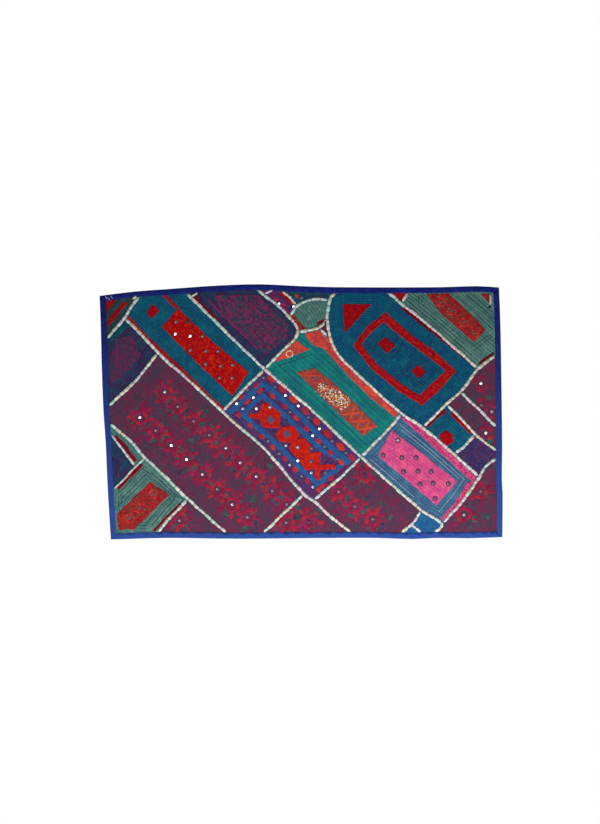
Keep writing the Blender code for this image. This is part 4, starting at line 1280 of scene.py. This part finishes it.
stitches.append((*KNOT_PLACE, 0.6, 11.0, 8.0, 2.0, LOOSE_THREAD))
tinted_piece("running_stitches", copies(STITCH, stitches), FINE_THREAD)

# The braids. Two thick soft cotton yarns are twisted into a cord for each seam and couched down over it, so
# it swells between its holding stitches. The yarns are off-white, each stretch of them faintly tinted by the
# dyes.
BRAID_HEIGHT, BRAID_LIFT = 5.0, 1.6
LUMP, LUMP_SHIFT, LUMP_SWAY = 26.0, 0.28, 1.5
YARN_SIDES, YARN_STEP, YARN_MAP = 8, 3.4, 3.6
YARN_ASIDE, YARN_WIDE, YARN_TALL = 2.1, 4.9, 2.3
END_TAPER = 7.0
HOLD_REACH, HOLD_ARCH, HOLD_LIFT = 5.6, 4.3, 0.3
# The last of these greys is the painted shade between the yarn's twisted strands.
HOLD_THREAD, YARN_SOIL, YARN_GAP_SHADE = dye(112, 112, 108), dye(150, 156, 150), dye(110, 116, 118)
FORK_THIN = 0.8
THIN = {"k": 0.62, "l": 0.8, "v": 0.85, "q": 0.9, "corner": 0.55}
FORKS = {
    "a_fork": ((-638, -49), (-624, -38)),
    "d_fork": ((-415, -40), (-392, -26)),
    "f_fork": ((-135, -28), (-107, -15)),
    "e_fork": ((423, -906), (456, -933)),
}


def smooth_run(stops, step):
    """Points on a smooth line through the stops, about one step apart."""
    stops = [Vector(stop) for stop in stops]
    points = [stops[0]]
    for i in range(len(stops) - 1):
        before, after = stops[max(i - 1, 0)], stops[min(i + 2, len(stops) - 1)]
        start, end = stops[i], stops[i + 1]
        reach = (end - start).length / 3
        leaving = (end - before).normalized() * reach
        arriving = (after - start).normalized() * reach
        count = max(1, round((end - start).length / step))
        stretch = interpolate_bezier(start, start + leaving, end - arriving, end, count + 1)
        points += [point.to_2d() for point in stretch[1:]]
    return np.array([tuple(point) for point in points])


def braid_finish():
    """Soft matt yarn, tinted by its faces, with a slanting twist that has painted shade between its strands,
    and some soil.
    """
    made, tree, base = new_finish("pale twisted yarn")
    rows = in_rows(tree)
    slant = plus(tree, times(tree, rows["X"], 190.0), times(tree, rows["Y"], 420.0))
    strand = maths(tree, "PINGPONG", slant, 0.5)
    tint = put(tree, "Attribute", attribute_name="tint").outputs["Color"]
    place = on_piece(tree)
    soil = noise(tree, place, 60.0, 3.0)
    fuzz = noise(tree, place, 900.0)
    colour = mixed(tree, spread(tree, soil, 0.45, 0.75, 0.0, 0.30), tint, YARN_SOIL)
    # Painted shade: the yarn is greyed where the twisted strands meet.
    colour = mixed(tree, spread(tree, strand, 0.10, 0.0, 0.0, 0.45), colour, YARN_GAP_SHADE)
    tree.links.new(colour, base.inputs["Base Color"])
    tree.links.new(spread(tree, fuzz, 0.3, 0.7, 0.6, 0.85), base.inputs["Roughness"])
    height = plus(tree, times(tree, strand, 2.0), times(tree, fuzz, 0.5))
    tree.links.new(put(tree, "Bump", {"Height": height, "Strength": 0.9, "Distance": 0.0005}).outputs[0],
                   base.inputs["Normal"])
    base.inputs["Sheen Weight"].default_value = 0.05
    base.inputs["Specular IOR Level"].default_value = 0.15
    return made


TINTS = (dye(214, 224, 214), dye(200, 210, 208), dye(224, 216, 198), dye(184, 220, 206), dye(222, 202, 210),
         dye(202, 212, 224), dye(230, 232, 224), dye(206, 206, 186))
YARN = braid_finish()


def holding_stitch(x, z, run_x, run_z, thin):
    """One thread that arches over the braid and holds it down between two lumps."""
    spots, faces, tints, maps = [], [], [], []
    level = float(hang(x, z)) + FRONT
    arch = np.linspace(-1, 1, 7)
    for i, share in enumerate(arch):
        off, up = share * HOLD_REACH * thin, (1 - share ** 2) * HOLD_ARCH * thin + HOLD_LIFT
        for k in range(4):
            turn = math.pi * (k / 2 + 0.25)
            ahead, rise = math.cos(turn) * 0.75, math.sin(turn) * 0.6
            spots.append(((x - run_z * off + run_x * ahead) * MM, -(level + up + rise) * MM,
                          (z + run_x * off + run_z * ahead) * MM))
            tints.append(HOLD_THREAD)
            maps.append((turn * MM, off * MM))
            if i:
                a, b = (i - 1) * 4 + k, (i - 1) * 4 + (k + 1) % 4
                faces.append((a, b, b + 4, a + 4))
    faces += [(3, 2, 1, 0), (24, 25, 26, 27)]
    return spots, faces, tints, maps


def twisted_yarns(stops, seed, thin=1.0):
    """Two yarns twisted round each other along a line: their places, faces, tints and maps."""
    chance = random.Random(seed)
    line = smooth_run(stops, YARN_STEP)
    marks = line_lengths(line)
    length = marks[-1]
    count = max(2, round(length / YARN_STEP))
    places = np.linspace(0, length, count + 1)
    x, z = (np.interp(places, marks, line[:, axis]) for axis in (0, 1))
    runs = np.stack([np.gradient(x), np.gradient(z)])
    runs /= np.hypot(*runs)
    lumps = max(1, round(length / LUMP))
    ends = [length * (i + chance.uniform(-LUMP_SHIFT, LUMP_SHIFT)) / lumps for i in range(1, lumps)]
    ends = [0.0] + ends + [length]
    phase = np.interp(places, ends, np.arange(lumps + 1))
    within = np.sin(math.pi * (phase % 1.0))
    full = [chance.uniform(0.82, 1.12) for _ in range(lumps + 2)]
    swell = (0.46 + 0.62 * within ** 0.8) * np.array([full[int(value)] for value in phase])
    sway = [chance.uniform(-LUMP_SWAY, LUMP_SWAY) for _ in range(lumps + 2)]
    sway = np.interp(phase, np.arange(lumps + 2) + 0.5, sway)
    x, z = x - runs[1] * sway * thin, z + runs[0] * sway * thin
    near_end = np.minimum(places, length - places)
    swell *= 0.72 + 0.28 * smooth(near_end / END_TAPER)
    swell *= thin
    hues = [chance.choice(TINTS) for _ in range(lumps + 2)]
    level = hang(x, z) + BRAID_LIFT
    spots, faces, tints, maps = [], [], [], []
    for yarn in (0, 1):
        turn = math.pi * (phase + yarn)
        side = np.cos(turn) * YARN_ASIDE * swell
        rise = (0.44 + 0.22 * np.sin(turn)) * BRAID_HEIGHT * swell
        first = len(spots)
        for i in range(count + 1):
            heart_x, heart_z = x[i] - runs[1][i] * side[i], z[i] + runs[0][i] * side[i]
            wide, tall = YARN_WIDE * swell[i], YARN_TALL * swell[i]
            for k in range(YARN_SIDES):
                round_yarn = 2 * math.pi * k / YARN_SIDES
                off = math.cos(round_yarn) * wide
                up = max(rise[i] + math.sin(round_yarn) * tall, -0.4)
                spots.append(((heart_x - runs[1][i] * off) * MM, -(level[i] + up) * MM,
                              (heart_z + runs[0][i] * off) * MM))
                tints.append(hues[int(phase[i]) + yarn])
                maps.append((round_yarn * YARN_MAP * MM, places[i] * MM))
        for i in range(count):
            for k in range(YARN_SIDES):
                other = (k + 1) % YARN_SIDES
                start, end = first + i * YARN_SIDES, first + (i + 1) * YARN_SIDES
                faces.append((start + k, start + other, end + other, end + k))
        faces.append(tuple(first + k for k in reversed(range(YARN_SIDES))))
        faces.append(tuple(first + count * YARN_SIDES + k for k in range(YARN_SIDES)))
    held = [(np.interp(end, places, x), np.interp(end, places, z), np.interp(end, places, runs[0]),
             np.interp(end, places, runs[1])) for end in ends[1:-1]]
    return (spots, faces, tints, maps), [holding_stitch(*spot, thin) for spot in held]


for seed, (seam, stops) in enumerate(BRAIDS.items()):
    yarns, stitches = twisted_yarns(stops, seed, THIN.get(seam, 1.0))
    parts = [yarns] + stitches
    if seam + "_fork" in FORKS:
        yarns, stitches = twisted_yarns(FORKS[seam + "_fork"], seed + 40, FORK_THIN)
        parts += [yarns] + stitches
    piece = tinted_piece("twisted_braid_" + seam, joined(parts), YARN)
    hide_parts("braid_" + seam)

# The binding. Four strips of blue cotton folded over the raw edge and stitched down along their inner edge,
# deep blue at the top with painted light making it lighter towards the bottom, a little puckered by the
# stitches.
BINDING_CELL, BINDING_WIDE, BINDING_FACE = 9.0, 15.0, 1.8
PUCKER = 0.35
# The lighter blue of the binding's lower part: painted light.
LOWER_PAINTED_LIGHT_BLUE = dye(54, 86, 164)


def bound(tree, colour, height):
    """The binding's painted light, growing lighter towards the bottom, and its fine puckers."""
    place = on_piece(tree)
    low = spread(tree, put(tree, "SeparateXYZ", {0: place}).outputs["Z"], -0.05, -0.95, 0.0, 0.8)
    # Painted light: the binding is mixed towards a lighter blue lower down.
    colour = mixed(tree, low, colour, LOWER_PAINTED_LIGHT_BLUE)
    pucker = noise(tree, place, 70.0)
    return colour, plus(tree, height, times(tree, pucker, 3.0))


BINDING = cloth("blue binding cotton", dye(30, 42, 118), dye(26, 36, 104), dye(36, 54, 134), patch=14.0,
                pattern=bound, grain=0.0007)
BOUND = []
for side in ("top", "right", "bottom", "left"):
    node = "binding_" + side
    bm = bmesh.new()
    bm.from_mesh(bpy.data.objects[node].data)
    bmesh.ops.remove_doubles(bm, verts=bm.verts, dist=WELD)
    bmesh.ops.recalc_face_normals(bm, faces=bm.faces)
    along = 0 if side in ("top", "bottom") else 2
    normal = Vector((1, 0, 0)) if along == 0 else Vector((0, 0, 1))
    places = [vert.co[along] / MM for vert in bm.verts]
    total_area = sum(face.calc_area() for face in bm.faces)
    for k in range(math.ceil(min(places) / BINDING_CELL), math.ceil(max(places) / BINDING_CELL)):
        parts = bm.verts[:] + bm.edges[:] + bm.faces[:]
        place = normal * k * BINDING_CELL * MM
        bmesh.ops.bisect_plane(bm, geom=parts, plane_co=place, plane_no=normal, dist=WELD)
    wide = [edge for edge in bm.edges if edge.calc_length() > BINDING_WIDE * MM]
    bmesh.ops.subdivide_edges(bm, edges=wide, cuts=4, use_grid_fill=True)
    for vert in bm.verts:
        x, z = vert.co.x / MM, vert.co.z / MM
        out = -vert.co.y / MM - float(hang(x, z))
        if abs(out) > BINDING_FACE:
            run = x if along == 0 else z
            much = 0.6 + 0.4 * math.sin(run / 90.0)
            lift = math.sin(run / 6.1 + 2.0 * math.sin(run / 37.0)) * PUCKER * much
            vert.co.y -= math.copysign(lift, out) * MM
    mesh = bpy.data.meshes.new(node)
    bm.to_mesh(mesh)
    bm.free()
    mesh.uv_layers.new(name="rows")
    piece = show_piece("folded_" + node, mesh, [BINDING])
    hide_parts(node)
    length = (max(places) - min(places)) * MM
    BOUND.append(piece)
FRONTS.append(front_tree(BOUND))

# The corner stitches. Three coarse stitches of pale thread hold the folded corner of the binding at the
# upper left.
CORNER_SPOTS = ((-738, -44), (-728, -48), (-718, -42))
CORNER_THREAD = dye(196, 198, 210)
corner_stitches = [(*spot, -0.95, 14.0, 2.2, 1.6, CORNER_THREAD) for spot in CORNER_SPOTS]
tinted_piece("corner_hand_stitches", copies(STITCH, corner_stitches), FINE_THREAD)

# The room. A plain white surround and a pale plastered floor out of sight below, with soft lamps in front,
# to the left and behind.
bpy.ops.mesh.primitive_grid_add(x_subdivisions=8, y_subdivisions=8, size=1.0, location=(0, -0.2, -2.3))
floor = bpy.context.object
floor.name = "floor"
floor.scale = (4.4, 2.2, 1.0)
bpy.ops.object.transform_apply(location=True, rotation=True, scale=True)
plaster, tree, base = new_finish("pale floor")
place = on_piece(tree)
clouds = noise(tree, place, 3.0)
tree.links.new(mixed(tree, clouds, dye(228, 226, 222), dye(236, 235, 232)), base.inputs["Base Color"])
floor.data.materials.append(plaster)

world = bpy.data.worlds.new("white surround")
bpy.context.scene.world = world
world.use_nodes = True
tree = world.node_tree
seen = put(tree, "LightPath").outputs["Is Camera Ray"]
seen = maths(tree, "MAXIMUM", seen, tree.nodes["Light Path"].outputs["Is Glossy Ray"])
tree.links.new(spread(tree, seen, 0.0, 1.0, 0.158, 1.0), tree.nodes["Background"].inputs["Strength"])
tree.nodes["Background"].inputs["Color"].default_value = (1, 1, 1, 1)


def lamp(name, place, towards, size, power):
    """A soft lamp of a width and height, turned towards a place."""
    light = bpy.data.lights.new(name, "AREA")
    light.shape = "RECTANGLE"
    light.size, light.size_y = size
    light.energy = power
    made = bpy.data.objects.new(name, light)
    bpy.context.scene.collection.objects.link(made)
    made.location = place
    made.rotation_euler = (Vector(towards) - Vector(place)).to_track_quat("-Z", "Y").to_euler()


lamp("soft lamp from the left", (-2.2, -4.6, -1.5), (0, 0, -0.7), (1.8, 1.8), 71.0)
lamp("wide lamp low in front", (0.5, -1.6, -2.0), (0, 0, -0.7), (2.4, 0.8), 47.0)
lamp("soft lamp behind", (1.6, 3.4, 0.6), (0, 0, -0.5), (2.0, 2.0), 90.0)

# The camera. It stands square on, 8 m in front of the hanging, and its lens shows as much round it as the
# photo does.
CAMERA_DISTANCE = 8.0
PICTURE_HEIGHT = 824 * 3.8 * MM
SENSOR = 36.0
camera = bpy.data.cameras.new("camera")
camera.sensor_width = SENSOR
camera.lens = SENSOR * CAMERA_DISTANCE / PICTURE_HEIGHT
viewer = bpy.data.objects.new("camera", camera)
bpy.context.scene.collection.objects.link(viewer)
viewer.location = (-0.0023, -CAMERA_DISTANCE, -0.4784)
viewer.rotation_euler = (math.radians(90), 0, 0)
bpy.context.scene.camera = viewer
bpy.context.scene.view_settings.view_transform = "Standard"
